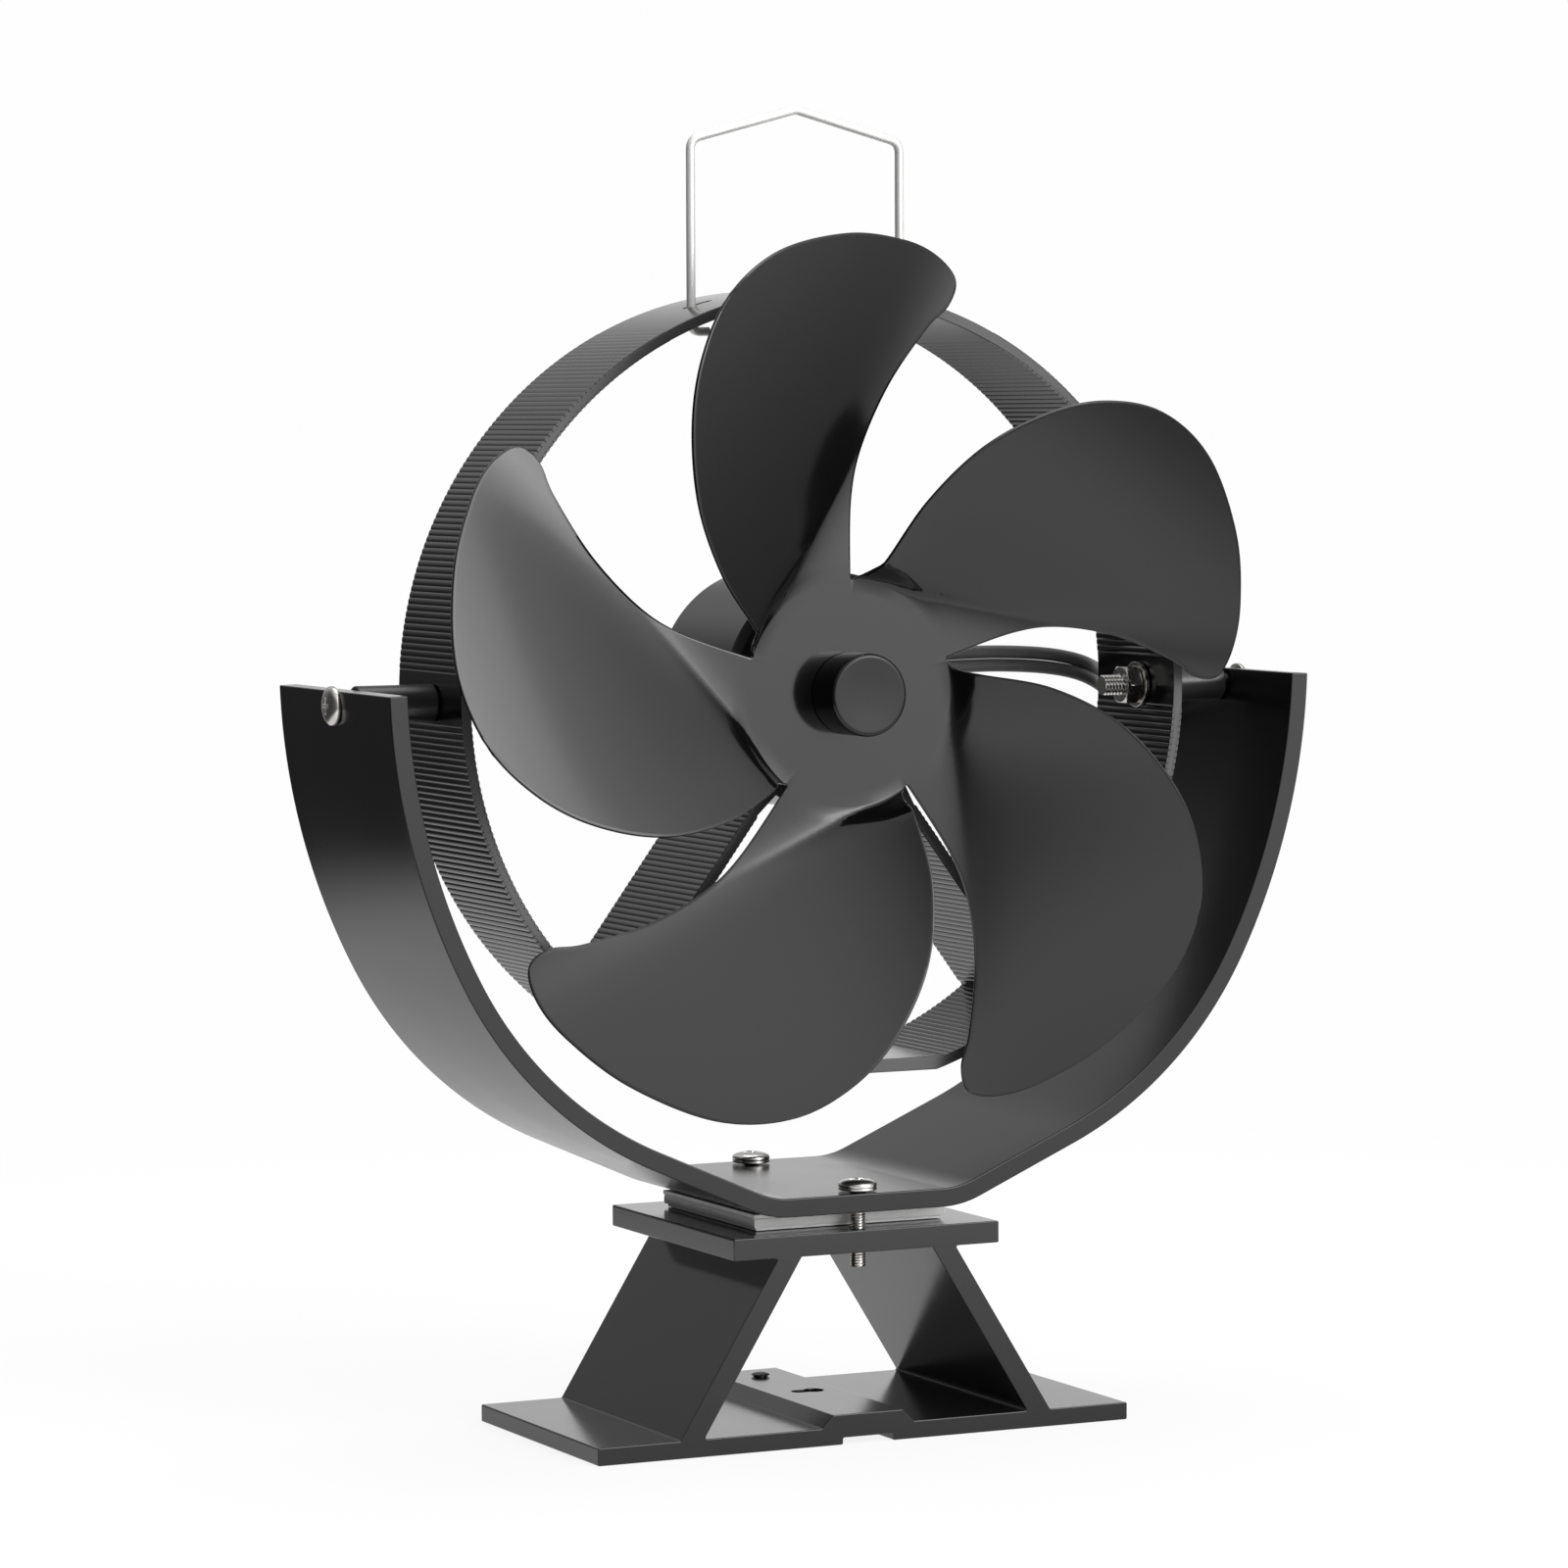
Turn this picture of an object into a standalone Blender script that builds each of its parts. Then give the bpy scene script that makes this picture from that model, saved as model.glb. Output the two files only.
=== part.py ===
"""Heat-powered stove fan: foot, thermoelectric module, bent yoke, tilting ring with motor and propeller."""

import math

import bmesh
import bpy
from mathutils import Matrix, Vector

mm = 0.001

# Fits that several pieces share
seat_gap = 0.3 * mm
bond_gap = 0.1 * mm
turning_gap = 0.15 * mm
cut_overrun = 2 * mm
merge_distance = 0.0001 * mm
smooth_angle = math.radians(35)

# Thermoelectric module: thin hot plate set in at the edges, sealed core, cold plate
module_size = 40 * mm
cold_plate_thickness = 0.8 * mm
hot_plate_thickness = 0.5 * mm
hot_plate_inset = 0.7 * mm
core_thickness = 1.6 * mm
core_inset = 0.1 * mm

# Screws that clamp the yoke beside the module's front and rear edges into the top plate
clamp_screw_radius = 1.5 * mm
clamp_head_radius = 3.1 * mm
clamp_head_height = 2.1 * mm
clamp_module_clearance = 1.3 * mm
clamp_edge_distance = 4.2 * mm
clamp_thread_showing = 3.2 * mm
clamp_washer_radius = 3.6 * mm
clamp_washer_thickness = 0.5 * mm

# Pan heads: rounded part of the height, width of the top, and the cross recess
pan_crown_share = 0.55
pan_top_share = 0.75
recess_reach_share = 0.55
recess_width_share = 0.2
recess_depth_share = 0.6
screw_point_share = 0.8

# Foot, one extrusion: top plate, two splayed legs, base with a raised middle and a channel below it
base_width = 110 * mm
base_thickness = 3.3 * mm
foot_height = 39.7 * mm
top_plate_width = 55 * mm
top_plate_thickness = 4.1 * mm
leg_thickness = 4.1 * mm
leg_top_spread = 36.8 * mm
leg_base_spread = 76.8 * mm
raised_width = 14.4 * mm
raised_height = 2.35 * mm
channel_width = 10.4 * mm
channel_depth = 1.3 * mm
foot_corner = 0.4 * mm

# Overheat strip in the channel, with the keyhole through which it is seen
strip_thickness = 0.8 * mm
strip_side_gap = 0.4 * mm
strip_end_distance = 3.6 * mm
strip_length = 45 * mm
strip_rivet_radius = 1.2 * mm
strip_rivet_head = 0.6 * mm
strip_rivet_place = 19 * mm
keyhole_slot_width = 2.6 * mm
keyhole_slot_length = 5 * mm
keyhole_radius = 1.9 * mm
keyhole_offset = 2 * mm

# Yoke, a flat strap bent to a U: flat bottom, straight shoulder, tight arc, wide arc up to the pivots
strap_thickness = 3.5 * mm
flat_half_width = 18.4 * mm
shoulder_bend_radius = 7 * mm
shoulder_angle = math.radians(23.6)
tight_arc_radius = 76 * mm
tight_arc_end = math.radians(62)
wide_arc_end = math.radians(88)
arm_past_ring = 19.57 * mm
arm_above_pivot = 2.7 * mm
arc_steps = 14
shoulder_bend_steps = 4

# Ring heat sink with its motor boss and two struts, one extrusion
ring_radius = 75 * mm
ring_wall = 2 * mm
ring_depth = 29.8 * mm
ring_over_strap = 17.4 * mm
ring_set_back = 1.7 * mm
ring_flat_share = 0.957
ring_flat_wall = 2.8 * mm
boss_wall = 2.1 * mm
strut_thickness = 2.2 * mm
strut_angle = math.radians(36.5)
strut_root_clear = 1.5 * mm
rib_pitch = 1.5 * mm
rib_depth = 0.45 * mm
rib_fade_angle = math.radians(7)
crown_smooth_angle = math.radians(31)
pivot_flat_height = 10 * mm
boss_steps = 56
points_kept_one_in = 4

# Pivots between the ring and the yoke
pivot_below_centre = 0.8 * mm
pivot_screw_radius = 2 * mm
pivot_head_radius = 3.9 * mm
pivot_head_height = 2.5 * mm
pivot_spacer_radius = 3.5 * mm
pivot_washer_radius = 4.4 * mm
pivot_washer_thickness = 0.8 * mm
pivot_nut_flats = 7 * mm
pivot_nut_height = 3.2 * mm
pivot_thread_showing = 3.6 * mm

# Motor
motor_radius = 19.9 * mm
motor_recess = 3 * mm
motor_body_length = 26.4 * mm
motor_edge = 0.8 * mm
bearing_radius = 3.6 * mm
bearing_height = 0.8 * mm
shaft_radius = 1 * mm
shaft_depth_in_motor = 6 * mm
rear_cap_inset = 4.4 * mm
rear_cap_height = 2.4 * mm
terminal_width = 2.4 * mm
terminal_thickness = 0.6 * mm
terminal_length = 3 * mm
terminal_spread = 8.4 * mm
terminal_offset = 6.5 * mm
grub_screw_radius = 1.5 * mm

# Nose cap that clamps the propeller to the shaft
nose_radius = 7.7 * mm
nose_length = 8.2 * mm
nose_edge = 0.7 * mm
nose_edge_round = 0.3
nose_wall = 2 * mm

# Propeller, one pressed sheet: flat hub, five arms, five pitched blades
blade_count = 5
tip_clearance = 7.6 * mm
sheet_thickness = 1 * mm
hub_hole_gap = 0.6 * mm
notch_radius = 21 * mm
hub_standoff = 8 * mm
arm_fall = 2.7 * mm
blade_pitch_share = 0.47
blade_pitch_loss_share = 0.14
crease_softness = 1.5 * mm
root_step = 5.5 * mm
root_step_width = 1.6 * mm
root_step_reach = 6.5 * mm
root_settle_width = 3.2 * mm
blade_camber = 0.6 * mm
camber_width_share = 0.5
notch_phase = math.radians(87.7)
crease_end_share = 0.672
crease_end_angle = math.radians(-6.2)

# Blade outline: radius as a share of the tip radius, and degrees from the trailing notch
leading_edge_shares = ((0.275, 64.5), (0.435, 57), (0.595, 49), (0.74, 40.3), (0.85, 32.6), (0.935, 24.5))
outer_edge_shares = ((0.935, 24.5), (0.984, 15.2), (1, 4), (0.997, -5.2), (0.982, -11), (0.945, -14.8))
trailing_edge_shares = ((0.265, 1.2), (0.43, 1.1), (0.545, -1.5), (0.685, -6.6), (0.82, -12))
blade_corner_shares = ((0.885, -14.8), (0.945, -14.8))
rows_along_blade = 13
rows_across_blade = 8
rows_in_hub = 3
spline_steps = 12
exponent_limit = 60

# Handle, a bent wire whose hooked feet catch under the ring's wall
wire_radius = 0.85 * mm
handle_span = 43.6 * mm
handle_shoulder_rise = 31 * mm
handle_peak_rise = 5.8 * mm
handle_bend = 2.6 * mm
handle_foot_drop = 2.6 * mm
handle_foot_length = 3.6 * mm
handle_slot_length = 5.6 * mm
handle_slot_inset = 0.5 * mm

# Twin lead from the motor, over the right arm's rear edge and down its outer face to the module
lead_wire_radius = 1.1 * mm
lead_wire_pitch = 2.6 * mm
lead_point_spacing = 5.5 * mm
lead_solder_gap = 0.6 * mm
lead_fan_share = 0.3
lead_run_depth = 19 * mm
lead_run_start_share = 0.23
lead_run_end_share = 0.88
lead_run_points = 9
lead_module_depth = 9 * mm

# Lead behind the ring: share of the ring's radius, then of the wire's pitch back and up, and its turn
lead_ring_shares = ((0.28, 2.6, 0.4, 0), (0.39, 2.4, 1, 0), (0.5, 1.3, 1.35, 0), (0.7, 0.85, 1.5, 0),
                    (0.88, 0.7, 1.1, 0), (1, 1, 0, 0.1))

# Lead round the arm: share of the arm's reach, of the wire's pitch behind its edge and up, and its turn
lead_arm_shares = ((0.895, -1, -2.4, 0.25), (0.965, 0.6, -5.5, 0.5), (1.015, -0.4, -8.7, 0.8))

# Lead beside the module: share of the wire's pitch outwards, of the module depth and of the pitch up
lead_end_shares = ((3.3, 1.5, 0.55), (1.7, 1.1, 0.05), (0.25, 1, 0))

# Finishes: colour, metallic, roughness
finishes = {
    "satin_black": ((0.012, 0.012, 0.0125), 0.2, 0.3),
    "gloss_black": ((0.012, 0.012, 0.013), 0.2, 0.16),
    "bright_steel": ((0.72, 0.71, 0.69), 1.0, 0.24),
    "bare_metal": ((0.62, 0.62, 0.61), 1.0, 0.34),
    "ceramic": ((0.72, 0.72, 0.7), 0.0, 0.45),
    "sealant": ((0.6, 0.6, 0.59), 0.0, 0.5),
    "black_plastic": ((0.018, 0.018, 0.018), 0.0, 0.35),
    "wire_jacket": ((0.05, 0.05, 0.052), 0.0, 0.42),
    "bimetal": ((0.5, 0.47, 0.42), 1.0, 0.4),
}

# Places worked out from the sizes above
module_stack = hot_plate_thickness + core_thickness + cold_plate_thickness + 4 * bond_gap
clamp_screw_offset = module_size / 2 + clamp_screw_radius + clamp_module_clearance
stock_depth = 2 * (clamp_screw_offset + clamp_edge_distance)
raised_top = base_thickness + raised_height
plate_bottom = foot_height - top_plate_thickness
strap_bottom = foot_height + module_stack
strap_top_of_flat = strap_bottom + strap_thickness
ring_centre_rise = ring_radius + ring_over_strap
ring_centre_height = strap_top_of_flat + ring_centre_rise
pivot_height = ring_centre_height - pivot_below_centre
ring_front = ring_set_back - ring_depth / 2
ring_back = ring_set_back + ring_depth / 2
ring_inner_radius = ring_radius - ring_wall
ring_flat_drop = ring_radius * ring_flat_share
boss_bore_radius = motor_radius + seat_gap
boss_radius = boss_bore_radius + boss_wall
motor_front = ring_front + motor_recess
motor_back = motor_front + motor_body_length
bearing_front = motor_front - bearing_height
tip_radius = ring_centre_rise - tip_clearance
hub_front = bearing_front - hub_standoff - sheet_thickness
hub_hole_radius = shaft_radius + hub_hole_gap
nose_back = hub_front - seat_gap
nose_front = nose_back - nose_length
rear_cap_front = motor_back + bond_gap
rear_cap_back = rear_cap_front + rear_cap_height


def clear_scene():
    for item in list(bpy.data.objects):
        bpy.data.objects.remove(item, do_unlink=True)


def finish_material(name, finish):
    colour, metallic, roughness = finishes[finish]
    material = bpy.data.materials.new(name)
    material.use_nodes = True
    shader = material.node_tree.nodes["Principled BSDF"]
    shader.inputs["Base Color"].default_value = (*colour, 1)
    shader.inputs["Metallic"].default_value = metallic
    shader.inputs["Roughness"].default_value = roughness
    return material


def axis_empty(name, place, parent=None):
    empty = bpy.data.objects.new(name, None)
    empty.empty_display_size = seat_gap
    bpy.context.collection.objects.link(empty)
    set_world_place(empty, place, parent)
    return empty


def set_world_place(item, place, parent):
    """Put the item at a place in the assembly, whatever it hangs from."""
    item.parent = parent
    carried = Vector((0, 0, 0))
    while parent:
        carried += parent.location
        parent = parent.parent
    item.location = Vector(place) - carried


def mesh_node(name, bm, finish, parent, origin, smooth=True):
    """Turn assembly-space geometry into a named object with its own origin and material."""
    bmesh.ops.remove_doubles(bm, verts=bm.verts, dist=merge_distance)
    bmesh.ops.recalc_face_normals(bm, faces=bm.faces)
    bmesh.ops.translate(bm, verts=bm.verts, vec=-Vector(origin))
    mesh = bpy.data.meshes.new(name)
    bm.to_mesh(mesh)
    bm.free()
    if smooth:
        mesh.shade_smooth()
        mesh.set_sharp_from_angle(angle=smooth_angle)
    mesh.materials.append(finish_material(name, finish))
    node = bpy.data.objects.new(name, mesh)
    bpy.context.collection.objects.link(node)
    set_world_place(node, origin, parent)
    return node


def arc_points(centre, radius, start, end, steps):
    """Points along an arc in the X-Z plane, both ends included."""
    points = []
    for step in range(steps + 1):
        angle = start + (end - start) * step / steps
        points.append((centre[0] + radius * math.cos(angle), centre[1] + radius * math.sin(angle)))
    return points


def rounded(points, radius, steps=2):
    """A closed outline with each corner replaced by a small arc."""
    result = []
    count = len(points)
    for index, corner in enumerate(points):
        here = Vector(corner)
        before = Vector(points[index - 1]) - here
        after = Vector(points[(index + 1) % count]) - here
        half = before.angle(after) / 2
        reach = min(radius / math.tan(half), before.length / 2, after.length / 2)
        first = here + before.normalized() * reach
        last = here + after.normalized() * reach
        for step in range(steps + 1):
            share = step / steps
            result.append(tuple(first.lerp(here, share).lerp(here.lerp(last, share), share)))
    return result


def extruded_mesh(loops, front, back):
    """Fill a flat outline with its holes and extrude it along the depth."""
    bm = bmesh.new()
    edges = []
    for loop in loops:
        corners = [bm.verts.new((x, front, z)) for x, z in loop]
        for index, corner in enumerate(corners):
            edges.append(bm.edges.new((corners[index - 1], corner)))
    bmesh.ops.triangle_fill(bm, use_beauty=True, edges=edges)
    pulled = bmesh.ops.extrude_face_region(bm, geom=list(bm.faces))["geom"]
    moved = [item for item in pulled if isinstance(item, bmesh.types.BMVert)]
    bmesh.ops.translate(bm, verts=moved, vec=(0, back - front, 0))
    return bm


def turned_mesh(outline, axis, centre, steps=24, closed=False):
    """Spin an outline of (radius, distance along the axis) points round the axis."""
    bm = bmesh.new()
    corners = [bm.verts.new((radius, 0, along)) for radius, along in outline]
    edges = [bm.edges.new(pair) for pair in zip(corners, corners[1:])]
    if closed:
        edges.append(bm.edges.new((corners[-1], corners[0])))
    bmesh.ops.spin(bm, geom=corners + edges, axis=(0, 0, 1), cent=(0, 0, 0), steps=steps, angle=math.tau)
    bmesh.ops.remove_doubles(bm, verts=bm.verts, dist=merge_distance)
    return aimed(bm, axis, centre)


def aimed(bm, axis, centre):
    """Turn a mesh built round +Z to point along an axis, and move it to its centre."""
    turns = {
        "X": Matrix.Rotation(math.pi / 2, 4, "Y"),
        "Y": Matrix.Rotation(-math.pi / 2, 4, "X"),
        "Z": Matrix.Identity(4),
    }
    bmesh.ops.transform(bm, matrix=Matrix.Translation(centre) @ turns[axis], verts=bm.verts)
    return bm


def mirrored(bm, sign):
    """The same mesh for the right side, its mirror image for the left."""
    if sign < 0:
        bmesh.ops.scale(bm, vec=(-1, 1, 1), verts=bm.verts)
        bmesh.ops.reverse_faces(bm, faces=bm.faces)
    return bm


def cylinder_outline(radius, start, end):
    return [(0, start), (radius, start), (radius, end), (0, end)]


def sleeve_outline(bore, radius, start, end):
    """Closed outline of a washer, spacer or nut."""
    return [(bore, start), (radius, start), (radius, end), (bore, end)]


def mirror_points(right):
    """A closed outline from its right half, which starts and ends beside the middle."""
    return right + [(-x, z) for x, z in reversed(right)]


def cut(node, name, bm, parent, origin):
    """Subtract a cutter that stays in the file as a wire guide."""
    cutter = mesh_node(name, bm, "black_plastic", parent, origin, smooth=False)
    cutter.hide_render = True
    cutter.display_type = "WIRE"
    boolean = node.modifiers.new(name, "BOOLEAN")
    boolean.operation = "DIFFERENCE"
    boolean.solver = "EXACT"
    boolean.object = cutter


def box_mesh(low, high):
    bm = bmesh.new()
    bmesh.ops.create_cube(bm, size=1)
    size = Vector(high) - Vector(low)
    matrix = Matrix.Translation((Vector(high) + Vector(low)) / 2) @ Matrix.Diagonal((*size, 1))
    bmesh.ops.transform(bm, matrix=matrix, verts=bm.verts)
    return bm


def stadium(half_length, radius, centre, steps=8):
    """A slot outline with round ends, along X, as (x, z) points."""
    straight = half_length - radius
    right = arc_points((centre[0] + straight, centre[1]), radius, -math.pi / 2, math.pi / 2, steps)
    left = arc_points((centre[0] - straight, centre[1]), radius, math.pi / 2, 3 * math.pi / 2, steps)
    return right + left


def upright_slot(outline, bottom, top):
    """An outline in plan, given as (x, y) points, pulled up from bottom to top."""
    bm = extruded_mesh([outline], bottom, top)
    for vertex in bm.verts:
        vertex.co = Vector((vertex.co.x, vertex.co.z, vertex.co.y))
    return bm


# Foot, overheat strip and module

def make_foot(stand):
    half_depth = stock_depth / 2
    leg_rise = plate_bottom - base_thickness
    leg_lean = math.atan2((leg_base_spread - leg_top_spread) / 2, leg_rise)
    leg_width = leg_thickness / math.cos(leg_lean)
    outside = [
        (channel_width / 2, channel_depth),
        (channel_width / 2, 0),
        (base_width / 2, 0),
        (base_width / 2, base_thickness),
        (leg_base_spread / 2, base_thickness),
        (leg_top_spread / 2, plate_bottom),
        (top_plate_width / 2, plate_bottom),
        (top_plate_width / 2, foot_height),
    ]
    window = [
        (raised_width / 2, raised_top),
        (raised_width / 2 + raised_height, base_thickness),
        (leg_base_spread / 2 - leg_width, base_thickness),
        (leg_top_spread / 2 - leg_width, plate_bottom),
    ]
    loops = [rounded(mirror_points(half), foot_corner) for half in (outside, window)]
    body = extruded_mesh(loops, -half_depth, half_depth)
    foot = mesh_node("foot_extrusion", body, "satin_black", stand, (0, 0, 0))
    for side, sign in (("front", -1), ("rear", 1)):
        place = (0, sign * clamp_screw_offset, foot_height)
        reach = top_plate_thickness + cut_overrun
        hole = cylinder_outline(clamp_screw_radius + turning_gap, -reach, cut_overrun)
        cut(foot, f"clamp_hole_cutter_{side}", turned_mesh(hole, "Z", place), stand, place)
    place = (0, strip_rivet_place, raised_top)
    hole = cylinder_outline(strip_rivet_radius + turning_gap, -raised_top, cut_overrun)
    cut(foot, "rivet_hole_cutter", turned_mesh(hole, "Z", place), stand, place)
    slot = stadium(keyhole_slot_length / 2, keyhole_slot_width / 2, (0, 0))
    cut(foot, "keyhole_slot_cutter", upright_slot(slot, 0, raised_top + cut_overrun), stand, (0, 0, 0))
    place = (keyhole_offset, 0, raised_top)
    hole = cylinder_outline(keyhole_radius, -raised_top, cut_overrun)
    cut(foot, "keyhole_cutter", turned_mesh(hole, "Z", place), stand, place)


def make_overheat_strip(stand):
    top = channel_depth - bond_gap
    half_width = channel_width / 2 - strip_side_gap
    rear = strip_rivet_place + strip_end_distance
    low = (-half_width, rear - strip_length, top - strip_thickness)
    high = (half_width, rear, top)
    strip = mesh_node("bimetal_strip", box_mesh(low, high), "bimetal", stand, low, smooth=False)
    place = (0, strip_rivet_place, 0)
    hole = cylinder_outline(strip_rivet_radius + turning_gap, -cut_overrun, channel_depth + cut_overrun)
    cut(strip, "strip_hole_cutter", turned_mesh(hole, "Z", place), stand, place)
    head_bottom = raised_top + seat_gap
    outline = [
        (0, bond_gap),
        (strip_rivet_radius, bond_gap),
        (strip_rivet_radius, head_bottom),
        (strip_rivet_radius + strip_rivet_head, head_bottom),
        (strip_rivet_radius, head_bottom + strip_rivet_head),
        (0, head_bottom + strip_rivet_head),
    ]
    mesh_node("strip_rivet", turned_mesh(outline, "Z", place, steps=16), "bright_steel", stand, place)


def make_module(stand):
    layers = (
        ("module_hot_plate", module_size - 2 * hot_plate_inset, hot_plate_thickness, "ceramic"),
        ("module_core", module_size - 2 * core_inset, core_thickness, "sealant"),
        ("module_cold_plate", module_size, cold_plate_thickness, "ceramic"),
    )
    bottom = foot_height + bond_gap
    for name, width, thickness, finish in layers:
        low = (-width / 2, -width / 2, bottom)
        high = (width / 2, width / 2, bottom + thickness)
        mesh_node(name, box_mesh(low, high), finish, stand, (0, 0, bottom), smooth=False)
        bottom += thickness + bond_gap


# Yoke

def strap_lengths():
    """Length of the straight shoulder and radius of the wide arc that bring the arm outside the ring."""
    width = ring_radius + arm_past_ring - flat_half_width
    width -= shoulder_bend_radius * math.sin(shoulder_angle)
    width -= tight_arc_radius * (math.sin(tight_arc_end) - math.sin(shoulder_angle))
    height = pivot_height + arm_above_pivot - strap_bottom
    height -= shoulder_bend_radius * (1 - math.cos(shoulder_angle))
    height -= tight_arc_radius * (math.cos(shoulder_angle) - math.cos(tight_arc_end))
    arc_width = math.sin(wide_arc_end) - math.sin(tight_arc_end)
    arc_height = math.cos(tight_arc_end) - math.cos(wide_arc_end)
    spread = math.cos(shoulder_angle) * arc_height - math.sin(shoulder_angle) * arc_width
    shoulder_length = (width * arc_height - height * arc_width) / spread
    wide_arc_radius = (math.cos(shoulder_angle) * height - math.sin(shoulder_angle) * width) / spread
    return shoulder_length, wide_arc_radius


def strap_side(offset):
    """One half of the strap's section line, from the flat's edge to the arm's end.

    Each entry is a point, offset towards the inside of the bend, and the strap's heading there.
    """
    trail = []
    x = flat_half_width
    z = strap_bottom
    shoulder_length, wide_arc_radius = strap_lengths()
    bends = [
        (0, shoulder_angle, shoulder_bend_radius, shoulder_bend_steps),
        (shoulder_angle, tight_arc_end, tight_arc_radius, arc_steps),
        (tight_arc_end, wide_arc_end, wide_arc_radius, arc_steps),
    ]
    for start, end, radius, steps in bends:
        for step in range(steps + 1):
            heading = start + (end - start) * step / steps
            point_x = x + radius * (math.sin(heading) - math.sin(start)) - offset * math.sin(heading)
            point_z = z + radius * (math.cos(start) - math.cos(heading)) + offset * math.cos(heading)
            trail.append(((point_x, point_z), heading))
        x += radius * (math.sin(end) - math.sin(start))
        z += radius * (math.cos(start) - math.cos(end))
        if end == shoulder_angle:
            x += shoulder_length * math.cos(end)
            z += shoulder_length * math.sin(end)
        if end == tight_arc_end:
            trail.pop()
    return trail


def strap_outline():
    outer = [point for point, heading in strap_side(0)]
    inner = [point for point, heading in strap_side(strap_thickness)]
    return mirror_points(outer + inner[::-1])


def arm_face_at(height, offset):
    """Half width of the strap's face at a height on the arm."""
    trail = [point for point, heading in strap_side(offset)]
    for (x0, z0), (x1, z1) in zip(trail, trail[1:]):
        if z0 <= height <= z1 and z1 > z0:
            return x0 + (x1 - x0) * (height - z0) / (z1 - z0)
    return trail[-1][0]


def make_yoke(stand):
    body = extruded_mesh([strap_outline()], -stock_depth / 2, stock_depth / 2)
    yoke = mesh_node("yoke", body, "gloss_black", stand, (0, 0, strap_bottom))
    for side, sign in (("front", -1), ("rear", 1)):
        place = (0, sign * clamp_screw_offset, strap_bottom)
        hole = cylinder_outline(clamp_screw_radius + turning_gap, -cut_overrun, strap_thickness + cut_overrun)
        cut(yoke, f"strap_hole_cutter_{side}", turned_mesh(hole, "Z", place), stand, place)
    outer = arm_face_at(pivot_height, 0)
    for side, sign in (("left", -1), ("right", 1)):
        place = (sign * outer, 0, pivot_height)
        reach = strap_thickness + cut_overrun
        hole = cylinder_outline(pivot_screw_radius + turning_gap, -reach, reach)
        cut(yoke, f"arm_hole_cutter_{side}", turned_mesh(hole, "X", place), stand, place)


def pan_head(head_radius, head_height, shank_radius, shank_end, head_start):
    """Screw outline: shank from its end up to the head, and a head with a rounded crown."""
    crown = head_height * pan_crown_share
    crown_start = head_start + head_height - crown
    point = shank_radius * (1 - screw_point_share)
    outline = [
        (0, shank_end),
        (shank_radius - point, shank_end),
        (shank_radius, shank_end + point),
        (shank_radius, head_start),
        (head_radius, head_start),
        (head_radius, crown_start),
    ]
    for step in range(1, 4):
        angle = math.pi / 2 * step / 4
        width = head_radius * math.cos(angle * pan_top_share)
        outline.append((width, crown_start + crown * math.sin(angle)))
    outline.append((0, head_start + head_height))
    return outline


def cross_recess(head_radius, head_height, head_start, axis, centre):
    """Cutter for the cross in a screw's head."""
    reach = head_radius * recess_reach_share
    half = head_radius * recess_width_share / 2
    quarter = [(half, half), (half, reach), (-half, reach)]
    outline = []
    for turn in range(4):
        outline += quarter
        quarter = [(-z, x) for x, z in quarter]
    top = head_start + head_height
    bm = upright_slot(outline, top - head_height * recess_depth_share, top + cut_overrun)
    return aimed(bm, axis, centre)


def make_clamp_screws(stand):
    washer_bottom = strap_top_of_flat + seat_gap
    washer_top = washer_bottom + clamp_washer_thickness
    head_start = washer_top + bond_gap
    shank_end = plate_bottom - clamp_thread_showing
    bore = clamp_screw_radius + turning_gap
    for side, sign in (("front", -1), ("rear", 1)):
        place = (0, sign * clamp_screw_offset, 0)
        outline = pan_head(clamp_head_radius, clamp_head_height, clamp_screw_radius, shank_end, head_start)
        body = turned_mesh(outline, "Z", place, steps=20)
        screw = mesh_node(f"clamp_screw_{side}", body, "bright_steel", stand, place)
        recess = cross_recess(clamp_head_radius, clamp_head_height, head_start, "Z", place)
        cut(screw, f"clamp_recess_cutter_{side}", recess, stand, place)
        outline = sleeve_outline(bore, clamp_washer_radius, washer_bottom, washer_top)
        body = turned_mesh(outline, "Z", place, steps=20, closed=True)
        mesh_node(f"clamp_washer_{side}", body, "bright_steel", stand, place)


# Ring heat sink

def ribbed(points, normals, depth_at):
    """Move every second point of a finely divided wall in along its normal, as the grooves between ribs.

    Where there are no grooves, most of the points are left out.
    """
    result = []
    last = len(points) - 1
    for index, (point, normal) in enumerate(zip(points, normals)):
        groove = depth_at(point) if index % 2 else 0
        smooth = depth_at(points[max(index - 1, 0)]) + depth_at(points[min(index + 1, last)]) == 0
        if smooth and index % points_kept_one_in and index != last:
            continue
        result.append((point[0] - normal[0] * groove, point[1] - normal[1] * groove))
    return result


def ring_groove_depth(point):
    """Full grooves on the flanks, fading towards the crown, none at the pivots and by the flat."""
    x, z = point
    if abs(z) < pivot_flat_height / 2:
        return 0
    if z < -(ring_flat_drop - ring_flat_wall):
        return 0
    from_crown = abs(math.atan2(x, z))
    return rib_depth * min(1, max(0, (from_crown - crown_smooth_angle) / rib_fade_angle))


def ribbed_arc(radius, start, end, outward):
    """Ribbed stretch of the ring's wall between two angles, in ring coordinates."""
    length = radius * abs(end - start)
    steps = 2 * max(1, round(length / rib_pitch))
    points = arc_points((0, 0), radius, start, end, steps)
    normals = [(outward * x / radius, outward * z / radius) for x, z in points]
    return ribbed(points, normals, ring_groove_depth)


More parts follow.
